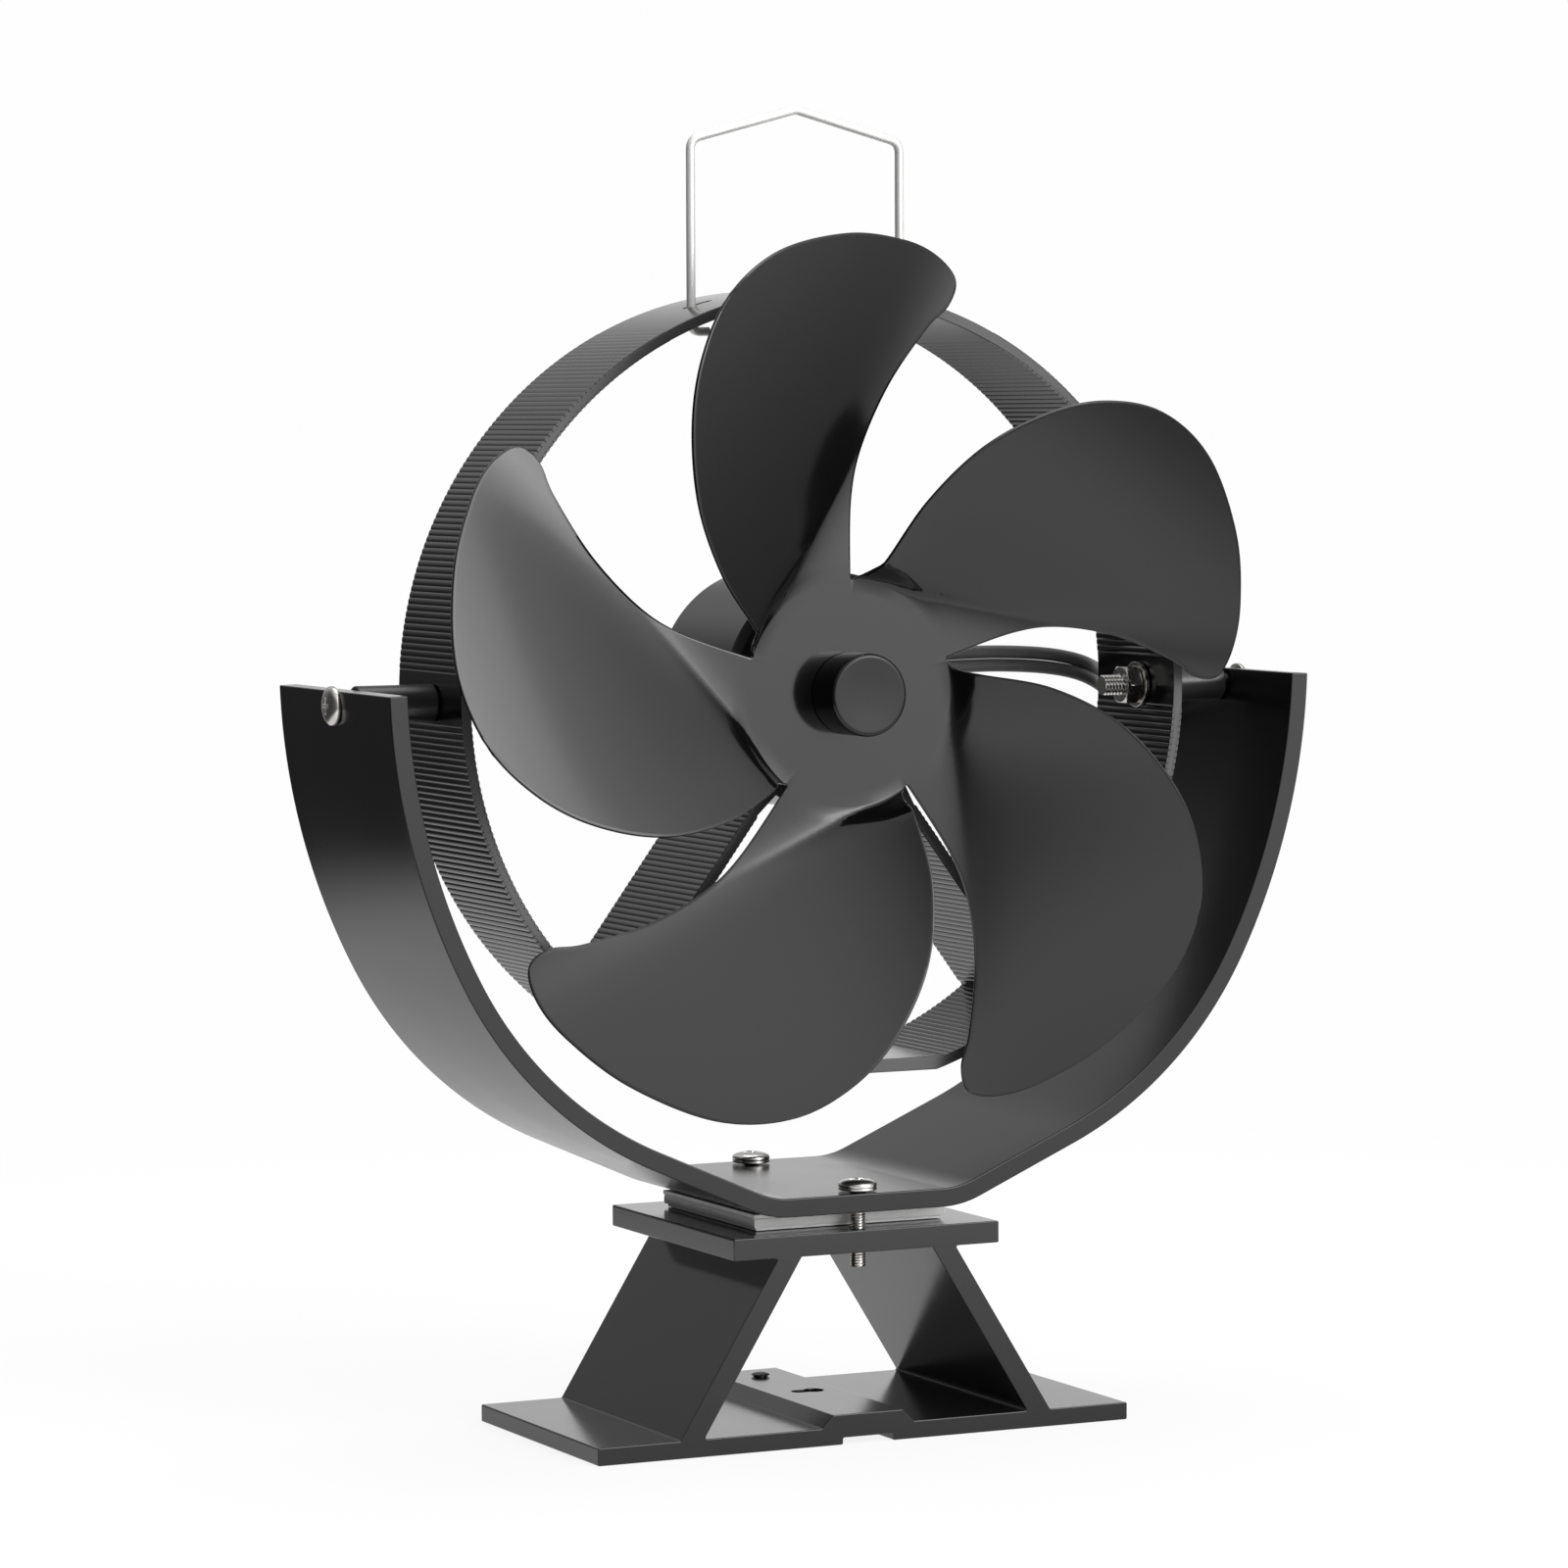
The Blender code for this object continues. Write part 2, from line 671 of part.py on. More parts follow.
def strut_face(side, face, start, end):
    """Ribbed face of a strut. side is -1 for the left strut, face is -1 for its face nearer the bottom."""
    along = (side * math.sin(strut_angle), -math.cos(strut_angle))
    across = (side * math.cos(strut_angle) * face, math.sin(strut_angle) * face)
    half = strut_thickness / 2
    steps = 2 * max(1, round(abs(end - start) / rib_pitch))
    points = []
    for step in range(steps + 1):
        reach = start + (end - start) * step / steps
        points.append((along[0] * reach + across[0] * half, along[1] * reach + across[1] * half))
    return ribbed(points, [across] * len(points), lambda point: rib_depth)


def ring_loops():
    """Section of the ring, its boss and struts: outside, upper window, lower window, bore."""
    half = strut_thickness / 2
    bottom = -math.pi / 2
    flat_outer = math.acos(ring_flat_drop / ring_radius)
    flat_inner = math.acos((ring_flat_drop - ring_flat_wall) / ring_inner_radius)
    strut_start = math.sqrt(boss_radius ** 2 - half ** 2) + strut_root_clear
    strut_end = math.sqrt(ring_inner_radius ** 2 - half ** 2) - strut_root_clear
    at_boss = math.asin(half / boss_radius)
    at_wall = math.asin(half / ring_inner_radius)
    right = bottom + strut_angle
    left = bottom - strut_angle
    round_left = left + math.tau

    outside = ribbed_arc(ring_radius, bottom + flat_outer, bottom - flat_outer + math.tau, 1)
    upper = ribbed_arc(ring_inner_radius, right + at_wall, round_left - at_wall, -1)
    upper += strut_face(-1, 1, strut_end, strut_start)
    upper += arc_points((0, 0), boss_radius, round_left - at_boss, right + at_boss, boss_steps)
    upper += strut_face(1, 1, strut_start, strut_end)
    lower = ribbed_arc(ring_inner_radius, left + at_wall, bottom - flat_inner, -1)
    lower += ribbed_arc(ring_inner_radius, bottom + flat_inner, right - at_wall, -1)
    lower += strut_face(1, -1, strut_end, strut_start)
    lower += arc_points((0, 0), boss_radius, right - at_boss, left + at_boss, boss_steps // 4)
    lower += strut_face(-1, -1, strut_start, strut_end)
    bore = arc_points((0, 0), boss_bore_radius, 0, math.tau, boss_steps)[:-1]
    return [lift(loop) for loop in (outside, upper, lower, bore)]


def lift(loop):
    return [(x, z + ring_centre_height) for x, z in loop]


def handle_wall_height(radius):
    """Height of the ring's outer or inner wall where the handle's legs pass it."""
    half = handle_span / 2
    return ring_centre_height + math.sqrt(radius ** 2 - half ** 2)


def make_ring(tilt):
    axis = (0, 0, pivot_height)
    body = extruded_mesh(ring_loops(), ring_front, ring_back)
    ring = mesh_node("ring_frame", body, "satin_black", tilt, axis)
    slot_radius = wire_radius + turning_gap
    slot_middle = handle_span / 2 + slot_radius + handle_slot_inset - handle_slot_length / 2
    slot_bottom = handle_wall_height(ring_inner_radius) - cut_overrun
    slot_top = handle_wall_height(ring_radius) + cut_overrun + handle_slot_length / 2
    for side, sign in (("left", -1), ("right", 1)):
        place = (sign * ring_radius, 0, pivot_height)
        reach = ring_wall + cut_overrun
        hole = cylinder_outline(pivot_screw_radius + turning_gap, -reach, reach)
        cut(ring, f"pivot_hole_cutter_{side}", turned_mesh(hole, "X", place), tilt, place)
        slot = stadium(handle_slot_length / 2, slot_radius, (sign * slot_middle, ring_set_back))
        cutter = upright_slot(slot, slot_bottom, slot_top)
        cut(ring, f"handle_slot_cutter_{side}", cutter, tilt, (sign * slot_middle, 0, slot_bottom))
    place = (0, ring_set_back, ring_centre_height)
    hole = cylinder_outline(grub_screw_radius + turning_gap, -boss_radius - cut_overrun, -motor_radius)
    cut(ring, "grub_hole_cutter", turned_mesh(hole, "Z", place), tilt, place)


# Pivots

def make_pivots(tilt):
    axis = (0, 0, pivot_height)
    bore = pivot_screw_radius + turning_gap
    washer_outside = ring_inner_radius - seat_gap
    washer_inside = washer_outside - pivot_washer_thickness
    nut_outside = washer_inside - bond_gap
    nut_inside = nut_outside - pivot_nut_height
    thread_end = nut_inside - pivot_thread_showing
    head_start = arm_face_at(pivot_height + pivot_head_radius, 0) + seat_gap
    spacer_inside = ring_radius + seat_gap
    spacer_outside = arm_face_at(pivot_height - pivot_spacer_radius, strap_thickness) - seat_gap
    screw = pan_head(pivot_head_radius, pivot_head_height, pivot_screw_radius, thread_end, head_start)
    spacer = sleeve_outline(bore, pivot_spacer_radius, spacer_inside, spacer_outside)
    washer = sleeve_outline(bore, pivot_washer_radius, washer_inside, washer_outside)
    for side, sign in (("left", -1), ("right", 1)):
        body = mirrored(turned_mesh(screw, "X", axis), sign)
        node = mesh_node(f"pivot_screw_{side}", body, "bright_steel", tilt, axis)
        recess = cross_recess(pivot_head_radius, pivot_head_height, head_start, "X", axis)
        cut(node, f"pivot_recess_cutter_{side}", mirrored(recess, sign), tilt, axis)
        body = mirrored(turned_mesh(spacer, "X", axis, closed=True), sign)
        mesh_node(f"pivot_spacer_{side}", body, "satin_black", tilt, axis)
        body = mirrored(turned_mesh(washer, "X", axis, closed=True), sign)
        mesh_node(f"pivot_washer_{side}", body, "bright_steel", tilt, axis)
        body = mirrored(hex_nut_mesh(bore, nut_inside, nut_outside, axis), sign)
        mesh_node(f"pivot_nut_{side}", body, "bright_steel", tilt, axis, smooth=False)


def hex_nut_mesh(bore, start, end, centre):
    """A nut on the X axis: six flats outside, a round bore inside."""
    corner = pivot_nut_flats / math.cos(math.pi / 6) / 2
    hexagon = arc_points((0, 0), corner, 0, math.tau, 6)[:-1]
    hole = arc_points((0, 0), bore, 0, math.tau, 18)[:-1]
    bm = extruded_mesh([hexagon, hole], start, end)
    for vertex in bm.verts:
        vertex.co = Vector((vertex.co.y, vertex.co.x, vertex.co.z)) + Vector(centre)
    return bm


# Motor

def make_motor(tilt, spin):
    centre = (0, 0, ring_centre_height)
    bore = shaft_radius + turning_gap
    shaft_end = motor_front + shaft_depth_in_motor
    can = [
        (0, shaft_end + seat_gap),
        (bore, shaft_end + seat_gap),
        (bore, bearing_front),
        (bearing_radius, bearing_front),
        (bearing_radius, motor_front),
        (motor_radius - motor_edge, motor_front),
        (motor_radius, motor_front + motor_edge),
        (motor_radius, motor_back - motor_edge),
        (motor_radius - motor_edge, motor_back),
        (0, motor_back),
    ]
    mesh_node("motor_can", turned_mesh(can, "Y", centre, steps=36), "bare_metal", tilt, centre)
    cap = cylinder_outline(motor_radius - rear_cap_inset, rear_cap_front, rear_cap_back)
    mesh_node("motor_rear_cap", turned_mesh(cap, "Y", centre, steps=32), "black_plastic", tilt, centre)
    tab_start = rear_cap_back + bond_gap
    tab_end = tab_start + terminal_length
    for side, sign in (("lower", -1), ("upper", 1)):
        height = ring_centre_height + sign * terminal_spread / 2
        low = (terminal_offset, tab_start, height - terminal_width / 2)
        high = (terminal_offset + terminal_thickness, tab_end, height + terminal_width / 2)
        mesh_node(f"motor_terminal_{side}", box_mesh(low, high), "bright_steel", tilt, low, smooth=False)
    place = (0, ring_set_back, ring_centre_height)
    grub = cylinder_outline(grub_screw_radius, -boss_radius, -motor_radius - seat_gap)
    mesh_node("motor_grub_screw", turned_mesh(grub, "Z", place, steps=16), "bright_steel", tilt, place)
    shaft = cylinder_outline(shaft_radius, nose_front + nose_wall + seat_gap, shaft_end)
    mesh_node("motor_shaft", turned_mesh(shaft, "Y", centre, steps=16), "bright_steel", spin, centre)


# Propeller

def smooth_through(points, steps):
    """Evenly divided smooth curve through the given plane points, both ends included."""
    padded = [2 * points[0] - points[1], *points, 2 * points[-1] - points[-2]]
    trail = []
    for before, start, end, after in zip(padded, padded[1:], padded[2:], padded[3:]):
        for step in range(spline_steps):
            share = step / spline_steps
            trail.append(spline_point(before, start, end, after, share))
    trail.append(points[-1])
    reach = [0.0]
    for start, end in zip(trail, trail[1:]):
        reach.append(reach[-1] + (end - start).length)
    result = []
    index = 0
    for step in range(steps + 1):
        target = reach[-1] * step / steps
        while index < len(trail) - 2 and reach[index + 1] < target:
            index += 1
        share = (target - reach[index]) / (reach[index + 1] - reach[index])
        result.append(trail[index].lerp(trail[index + 1], min(1, share)))
    return result


def spline_point(before, start, end, after, share):
    square = share * share
    cube = square * share
    point = start * 2 + (end - before) * share
    point += (before * 2 - start * 5 + end * 4 - after) * square
    point += (start * 3 - before - end * 3 + after) * cube
    return point / 2


def polar(radius, angle):
    return Vector((radius * math.cos(angle), radius * math.sin(angle)))


def blade_edge(start, shares, steps):
    """One edge of the blade, evenly divided, through its listed points."""
    points = [polar(share * tip_radius, math.radians(angle)) for share, angle in shares]
    return smooth_through(start + points, steps)


def blade_grid():
    """Plane points of one blade, filled between its four edges, rows from root to tip."""
    span = math.tau / blade_count
    trailing_shares = trailing_edge_shares + blade_corner_shares
    trailing = blade_edge([polar(notch_radius, 0)], trailing_shares, rows_along_blade)
    leading = blade_edge([polar(notch_radius, span)], leading_edge_shares, rows_along_blade)
    outer = blade_edge([], outer_edge_shares, rows_across_blade)[::-1]
    root = [polar(notch_radius, span * step / rows_across_blade) for step in range(rows_across_blade + 1)]
    grid = []
    for row in range(rows_along_blade + 1):
        v = row / rows_along_blade
        line = []
        for column in range(rows_across_blade + 1):
            u = column / rows_across_blade
            sides = trailing[row].lerp(leading[row], u)
            ends = root[column].lerp(outer[column], v)
            corners = root[0].lerp(root[-1], u).lerp(outer[0].lerp(outer[-1], u), v)
            line.append(sides + ends - corners)
        grid.append(line)
    return grid


def sheet_front(point):
    """Depth of the sheet's front face at a plane point of a blade or of the hub.

    A crease runs from the leading notch to the trailing edge. On its near side the sheet is the flat
    arm, on its far side the blade rises towards the front, steeply beside the notch.
    """
    radius = point.length
    if radius <= notch_radius:
        return hub_front
    arm = hub_front + arm_fall * (radius - notch_radius) / (tip_radius - notch_radius)
    start = polar(notch_radius, math.tau / blade_count)
    end = polar(crease_end_share * tip_radius, crease_end_angle)
    line = (end - start).normalized()
    away = Vector((-line.y, line.x))
    across = (point - start).dot(away)
    along = max(0, (point - start).dot(line))
    soft = crease_softness * math.log1p(math.exp(min(exponent_limit, across / crease_softness)))
    rise = soft * (blade_pitch_share - blade_pitch_loss_share * along / tip_radius)
    if across > 0:
        rise += root_step * (1 - math.exp(-across / root_step_width)) * math.exp(-along / root_step_reach)
        rise -= blade_camber * math.sin(math.pi * min(1, across / (camber_width_share * tip_radius)))
    settle = min(1, (radius - notch_radius) / root_settle_width)
    return arm - rise * settle


def hub_rows():
    """Rows of plane points across one fifth of the hub, from its hole to just short of the notches."""
    rows = []
    for row in range(rows_in_hub):
        radius = hub_hole_radius + (notch_radius - hub_hole_radius) * row / rows_in_hub
        turn = math.tau / blade_count / rows_across_blade
        rows.append([polar(radius, turn * step) for step in range(rows_across_blade + 1)])
    return rows


def make_propeller(spin):
    bm = bmesh.new()
    rows = hub_rows() + blade_grid()
    for blade in range(blade_count):
        turn = Matrix.Rotation(notch_phase - math.tau / blade_count * blade, 2)
        corners = []
        for row in rows:
            line = []
            for point in row:
                spot = turn @ point
                line.append(bm.verts.new((spot.x, sheet_front(point), spot.y + ring_centre_height)))
            corners.append(line)
        for lower, upper in zip(corners, corners[1:]):
            for index in range(rows_across_blade):
                bm.faces.new((lower[index], upper[index], upper[index + 1], lower[index + 1]))
    bmesh.ops.remove_doubles(bm, verts=bm.verts, dist=merge_distance)
    thicken(bm, sheet_thickness)
    mesh_node("propeller", bm, "satin_black", spin, (0, 0, ring_centre_height))


def thicken(bm, thickness):
    """Close a sheet that faces the front: its copy at the back is joined to it round the rim."""
    bm.normal_update()
    backs = {tuple(vertex.co): vertex.normal * thickness for vertex in bm.verts}
    pulled = bmesh.ops.extrude_face_region(bm, geom=list(bm.faces), use_keep_orig=True)
    for vertex in pulled["geom"]:
        if isinstance(vertex, bmesh.types.BMVert):
            vertex.co -= backs[tuple(vertex.co)]


def make_nose(spin):
    centre = (0, 0, ring_centre_height)
    bore = shaft_radius + turning_gap
    outline = [
        (bore, nose_back),
        (nose_radius, nose_back),
        (nose_radius, nose_front + nose_edge),
        (nose_radius - nose_edge_round * nose_edge, nose_front + nose_edge_round * nose_edge),
        (nose_radius - nose_edge, nose_front),
        (0, nose_front),
        (0, nose_front + nose_wall),
        (bore, nose_front + nose_wall),
        (bore, nose_back),
    ]
    bm = turned_mesh(outline, "Y", centre, steps=32)
    mesh_node("nose_cap", bm, "black_plastic", spin, centre)


# Handle and lead

def wire_node(name, points, radius, finish, parent, origin):
    """A round wire with closed ends along the given points."""
    curve = bpy.data.curves.new(name, "CURVE")
    curve.dimensions = "3D"
    curve.bevel_depth = radius
    curve.bevel_resolution = 2
    curve.use_fill_caps = True
    spline = curve.splines.new("POLY")
    spline.points.add(len(points) - 1)
    for knot, place in zip(spline.points, points):
        knot.co = (*(Vector(place) - Vector(origin)), 1)
    curve.materials.append(finish_material(name, finish))
    node = bpy.data.objects.new(name, curve)
    bpy.context.collection.objects.link(node)
    set_world_place(node, origin, parent)
    return node


def bent_wire(corners, bend, steps=5):
    """Straight runs between the corners, each corner rounded."""
    trail = [Vector(corners[0])]
    for before, here, after in zip(corners, corners[1:], corners[2:]):
        middle = Vector(here)
        back = Vector(before) - middle
        ahead = Vector(after) - middle
        half = back.angle(ahead) / 2
        reach = min(bend / math.tan(half), back.length / 2, ahead.length / 2)
        first = middle + back.normalized() * reach
        last = middle + ahead.normalized() * reach
        for step in range(steps + 1):
            share = step / steps
            trail.append(first.lerp(middle, share).lerp(middle.lerp(last, share), share))
    trail.append(Vector(corners[-1]))
    return trail


def make_handle(tilt):
    half = handle_span / 2
    depth = ring_set_back
    top = handle_wall_height(ring_radius) + handle_shoulder_rise
    foot = handle_wall_height(ring_inner_radius) - handle_foot_drop
    right = [(half - handle_foot_length, depth, foot), (half, depth, foot), (half, depth, top)]
    left = [(-x, y, z) for x, y, z in right]
    corners = left + [(0, depth, top + handle_peak_rise)] + right[::-1]
    foot_bend = min(handle_bend, handle_foot_length / 2)
    points = bent_wire(corners[:3], foot_bend)[:-1] + bent_wire(corners[1:6], handle_bend)[1:-1]
    points += bent_wire(corners[4:], foot_bend)[1:]
    origin = (0, depth, handle_wall_height(ring_radius))
    wire_node("handle", points, wire_radius, "bright_steel", tilt, origin)


def strap_run(share, offset):
    """A point beside the strap's outer face: share 0 at the arm's end, 1 at the flat's edge."""
    trail = [point for point, heading in strap_side(-offset)][::-1]
    reach = [0]
    for start, end in zip(trail, trail[1:]):
        reach.append(reach[-1] + math.dist(start, end))
    target = share * reach[-1]
    index = max(step for step in range(len(trail) - 1) if reach[step] <= target)
    part = (target - reach[index]) / (reach[index + 1] - reach[index])
    return Vector(trail[index]).lerp(Vector(trail[index + 1]), part)


def lead_route():
    """Middle line of the twin lead, with how far the pair has turned from upright to side by side."""
    tab_side = terminal_offset + terminal_thickness + lead_solder_gap
    behind_ring = ring_back + lead_wire_radius + seat_gap
    behind_arm = stock_depth / 2 + lead_wire_radius + seat_gap
    arm_reach = arm_face_at(pivot_height, 0)
    height = ring_centre_height
    pitch = lead_wire_pitch
    route = [((tab_side, rear_cap_back + bond_gap + terminal_length / 2, height), 0)]
    for reach, back, rise, turn in lead_ring_shares:
        route.append(((ring_radius * reach, behind_ring + pitch * back, height + pitch * rise), turn))
    for reach, back, rise, turn in lead_arm_shares:
        route.append(((arm_reach * reach, behind_arm + pitch * back, height + pitch * rise), turn))
    for step in range(lead_run_points):
        along = step / (lead_run_points - 1)
        share = lead_run_start_share + (lead_run_end_share - lead_run_start_share) * along
        x, z = strap_run(share, lead_wire_radius + seat_gap)
        route.append(((x, lead_run_depth, z), 1))
    plate = foot_height + lead_wire_radius + seat_gap
    for out, depth, rise in lead_end_shares:
        route.append(((module_size / 2 + pitch * out, lead_module_depth * depth, plate + pitch * rise), 1))
    return route


def pair_sides(route):
    """Unit vectors from the lower to the upper wire, square to the route at each of its points."""
    places = [Vector(place) for place, _ in route]
    sides = []
    for index, (_, turned) in enumerate(route):
        last = len(places) - 1
        heading = (places[min(index + 1, last)] - places[max(index - 1, 0)]).normalized()
        angle = turned * math.pi / 2
        side = Vector((0, math.sin(angle), math.cos(angle)))
        sides.append((side - heading * side.dot(heading)).normalized())
    return sides


def make_lead(stand):
    route = lead_route()
    sides = pair_sides(route)
    for name, sign in (("lower", -1), ("upper", 1)):
        knots = []
        for (place, _), side in zip(route, sides):
            knots.append(Vector(place) + side * (sign * lead_wire_pitch / 2))
        knots[0].z = ring_centre_height + sign * terminal_spread / 2
        knots[1].z += sign * lead_fan_share * (terminal_spread - lead_wire_pitch) / 2
        length = sum((b - a).length for a, b in zip(knots, knots[1:]))
        points = smooth_through(knots, round(length / lead_point_spacing))
        wire_node(f"lead_wire_{name}", points, lead_wire_radius, "wire_jacket", stand, knots[0])


def centre_in_plan(root):
    """Move the whole assembly so that the origin is under the middle of its box."""
    bpy.context.view_layer.update()
    depsgraph = bpy.context.evaluated_depsgraph_get()
    places = []
    for item in bpy.data.objects:
        if item.type == "EMPTY" or item.hide_render:
            continue
        shown = item.evaluated_get(depsgraph)
        mesh = shown.to_mesh()
        places += [shown.matrix_world @ vertex.co for vertex in mesh.vertices]
        shown.to_mesh_clear()
    for axis in (0, 1):
        values = [place[axis] for place in places]
        root.location[axis] -= (min(values) + max(values)) / 2
    bpy.context.view_layer.update()


def main():
    clear_scene()
    root = axis_empty("assembly_origin", (0, 0, 0))
    stand = axis_empty("stand", (0, 0, 0), root)
    tilt = axis_empty("tilt_axis", (0, 0, pivot_height), stand)
    spin = axis_empty("spin_axis", (0, 0, ring_centre_height), tilt)
    make_foot(stand)
    make_overheat_strip(stand)
    make_module(stand)
    make_yoke(stand)
    make_clamp_screws(stand)
    make_ring(tilt)
    make_pivots(tilt)
    make_motor(tilt, spin)
    make_propeller(spin)
    make_nose(spin)
    make_handle(tilt)
    make_lead(stand)
    centre_in_plan(root)
    print("origin moved by", [round(value / mm, 3) for value in root.location])


main()
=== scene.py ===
from math import acos, asin, atan2, copysign, cos, dist, exp, hypot, log1p, pi, radians, sin, sqrt, tan, tau

import bmesh
import bpy
from mathutils import Matrix, Vector


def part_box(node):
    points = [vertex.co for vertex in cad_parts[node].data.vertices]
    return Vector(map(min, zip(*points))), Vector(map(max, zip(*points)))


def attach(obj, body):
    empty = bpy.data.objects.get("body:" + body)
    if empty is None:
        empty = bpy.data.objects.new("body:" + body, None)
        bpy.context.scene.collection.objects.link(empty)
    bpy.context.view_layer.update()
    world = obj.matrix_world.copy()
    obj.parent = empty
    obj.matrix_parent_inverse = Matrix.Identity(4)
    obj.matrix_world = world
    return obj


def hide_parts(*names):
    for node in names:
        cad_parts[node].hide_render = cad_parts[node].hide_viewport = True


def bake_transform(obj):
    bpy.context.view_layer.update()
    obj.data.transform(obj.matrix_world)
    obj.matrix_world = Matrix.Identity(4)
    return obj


mm = 0.001
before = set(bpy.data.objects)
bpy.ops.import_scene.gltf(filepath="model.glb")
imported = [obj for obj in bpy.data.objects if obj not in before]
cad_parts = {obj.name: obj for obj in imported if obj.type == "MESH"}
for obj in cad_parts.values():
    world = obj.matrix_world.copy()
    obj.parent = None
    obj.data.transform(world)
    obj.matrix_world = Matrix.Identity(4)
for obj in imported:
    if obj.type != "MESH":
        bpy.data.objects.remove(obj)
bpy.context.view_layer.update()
print("frame loaded,", len(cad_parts), "nodes")


def middleOf(node):
    low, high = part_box(node)
    return (low + high) / 2


# Places and sizes that several pieces share, most of them read from the frame
overrun = 1 * mm
collarHeight = 0.8 * mm
clampHole = 1.65 * mm
pivotHole = 2.15 * mm
middleDepth = middleOf("foot_extrusion").y
hub = Vector((0, middleDepth, middleOf("motor_can").z))
pivotHeight = middleOf("pivot_nut_right").z
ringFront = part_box("ring_frame")[0].y
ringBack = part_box("ring_frame")[1].y
ringMiddle = (ringFront + ringBack) / 2
stockFront, stockBack = (corner.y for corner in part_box("yoke"))
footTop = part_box("foot_extrusion")[1].z
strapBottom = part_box("yoke")[0].z
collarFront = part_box("motor_can")[0].y
motorFront = collarFront + collarHeight
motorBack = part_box("motor_can")[1].y


# Nodes: a signal is one output, and sums of signals add Math nodes to its tree

class Signal:
    def __init__(self, bench, socket):
        self.bench = bench
        self.socket = socket

    def also(self, name):
        return Signal(self.bench, self.bench.find(self.socket.node.outputs, name))

    def join(self, operation, *values):
        return self.bench.node("ShaderNodeMath", dict(enumerate(values)), operation=operation)

    def __add__(self, other):
        return self.join("ADD", self, other)

    def __sub__(self, other):
        return self.join("SUBTRACT", self, other)

    def __rsub__(self, other):
        return self.join("SUBTRACT", other, self)

    def __mul__(self, other):
        return self.join("MULTIPLY", self, other)

    def __truediv__(self, other):
        return self.join("DIVIDE", self, other)

    def __pow__(self, other):
        return self.join("POWER", self, other)

    def __abs__(self):
        return self.join("ABSOLUTE", self)

    __radd__ = __add__
    __rmul__ = __mul__


class Bench:
    def __init__(self, tree):
        self.tree = tree

    def find(self, sockets, key):
        if isinstance(key, int):
            return sockets[key]
        for socket in sockets:
            if socket.identifier == key:
                return socket
        return next(socket for socket in sockets if socket.name == key and socket.enabled)

    def node(self, kind, sockets=None, result=0, **settings):
        made = self.tree.nodes.new(kind)
        for key, value in settings.items():
            setattr(made, key, value)
        for key, value in (sockets or {}).items():
            socket = self.find(made.inputs, key)
            if isinstance(value, Signal):
                self.tree.links.new(value.socket, socket)
            else:
                socket.default_value = value
        return Signal(self, self.find(made.outputs, result)) if made.outputs else made

    def split(self, vector, part="X"):
        return self.node("ShaderNodeSeparateXYZ", {"Vector": vector}, part)

    def packed(self, **parts):
        return self.node("ShaderNodeCombineXYZ", parts)

    def vectors(self, operation, *values, result=0):
        return self.node("ShaderNodeVectorMath", dict(enumerate(values)), result, operation=operation)

    def ranged(self, value, low, high, curve="LINEAR"):
        sockets = {"Value": value, "From Min": low, "From Max": high}
        return self.node("ShaderNodeMapRange", sockets, interpolation_type=curve)


# Finishes

class Finish(Bench):
    def __init__(self, name):
        self.material = bpy.data.materials.new(name)
        self.material.use_nodes = True
        super().__init__(self.material.node_tree)
        self.tree.nodes.clear()
        self.place = self.node("ShaderNodeTexCoord", result="Object")

    def stretched(self, *scale, centre=(0, 0, 0)):
        return self.vectors("MULTIPLY", self.vectors("SUBTRACT", self.place, centre), scale)

    def noise(self, scale, detail=2, place=None, roughness=0.5):
        sockets = {"Vector": place or self.place, "Scale": scale, "Detail": detail, "Roughness": roughness}
        return self.node("ShaderNodeTexNoise", sockets)

    def between(self, factor, first, second):
        sockets = {"Factor_Float": factor}
        for key, shade in (("A_Color", first), ("B_Color", second)):
            sockets[key] = shade if isinstance(shade, Signal) else (*shade, 1)
        return self.node("ShaderNodeMix", sockets, "Result_Color", data_type="RGBA")

    def edges(self, width):
        # 1 on edges that stand out, 0 on flat faces
        rounded = self.node("ShaderNodeBevel", {"Radius": width}, samples=4)
        flat = self.node("ShaderNodeNewGeometry", result="Normal")
        return self.ranged(1 - self.vectors("DOT_PRODUCT", rounded, flat, result="Value"), 0.02, 0.2)

    def close(self, colour, roughness, bump, depth, metallic=0.0, specular=0.5):
        shader = self.node("ShaderNodeBsdfPrincipled", {
            "Base Color": colour,
            "Roughness": roughness,
            "Metallic": metallic,
            "Specular IOR Level": specular,
            "Normal": self.node("ShaderNodeBump", {"Strength": 1.0, "Distance": depth, "Height": bump}),
        })
        self.node("ShaderNodeOutputMaterial", {"Surface": shader})
        return self.material


def strapPaint():
    # Stove paint on the bent strap: smooth, faintly orange-peeled
    finish = Finish("strapPaint")
    cloud = finish.noise(34, 3)
    colour = finish.between(cloud, (0.003, 0.003, 0.0031), (0.006, 0.006, 0.0061))
    bump = finish.noise(620) + 0.15 * finish.noise(5200, 1)
    return finish.close(colour, 0.16 + 0.1 * cloud, bump, 0.004 * mm, specular=0.4)


def extrusionBlack(name, dark, light, roughness, lines):
    # Anodised aluminium with the fine lines that the die leaves along the depth
    finish = Finish(name)
    drawn = finish.noise(2300, 3, finish.stretched(1, 0.012, 1))
    cloud = finish.noise(60, 3)
    colour = finish.between(0.6 * drawn + 0.4 * cloud, dark, light)
    rough = roughness + 0.06 * drawn + 0.05 * cloud
    bump = lines * drawn + 0.2 * finish.noise(6500, 1)
    return finish.close(colour, rough, bump, 0.014 * mm, metallic=0.15, specular=0.6)


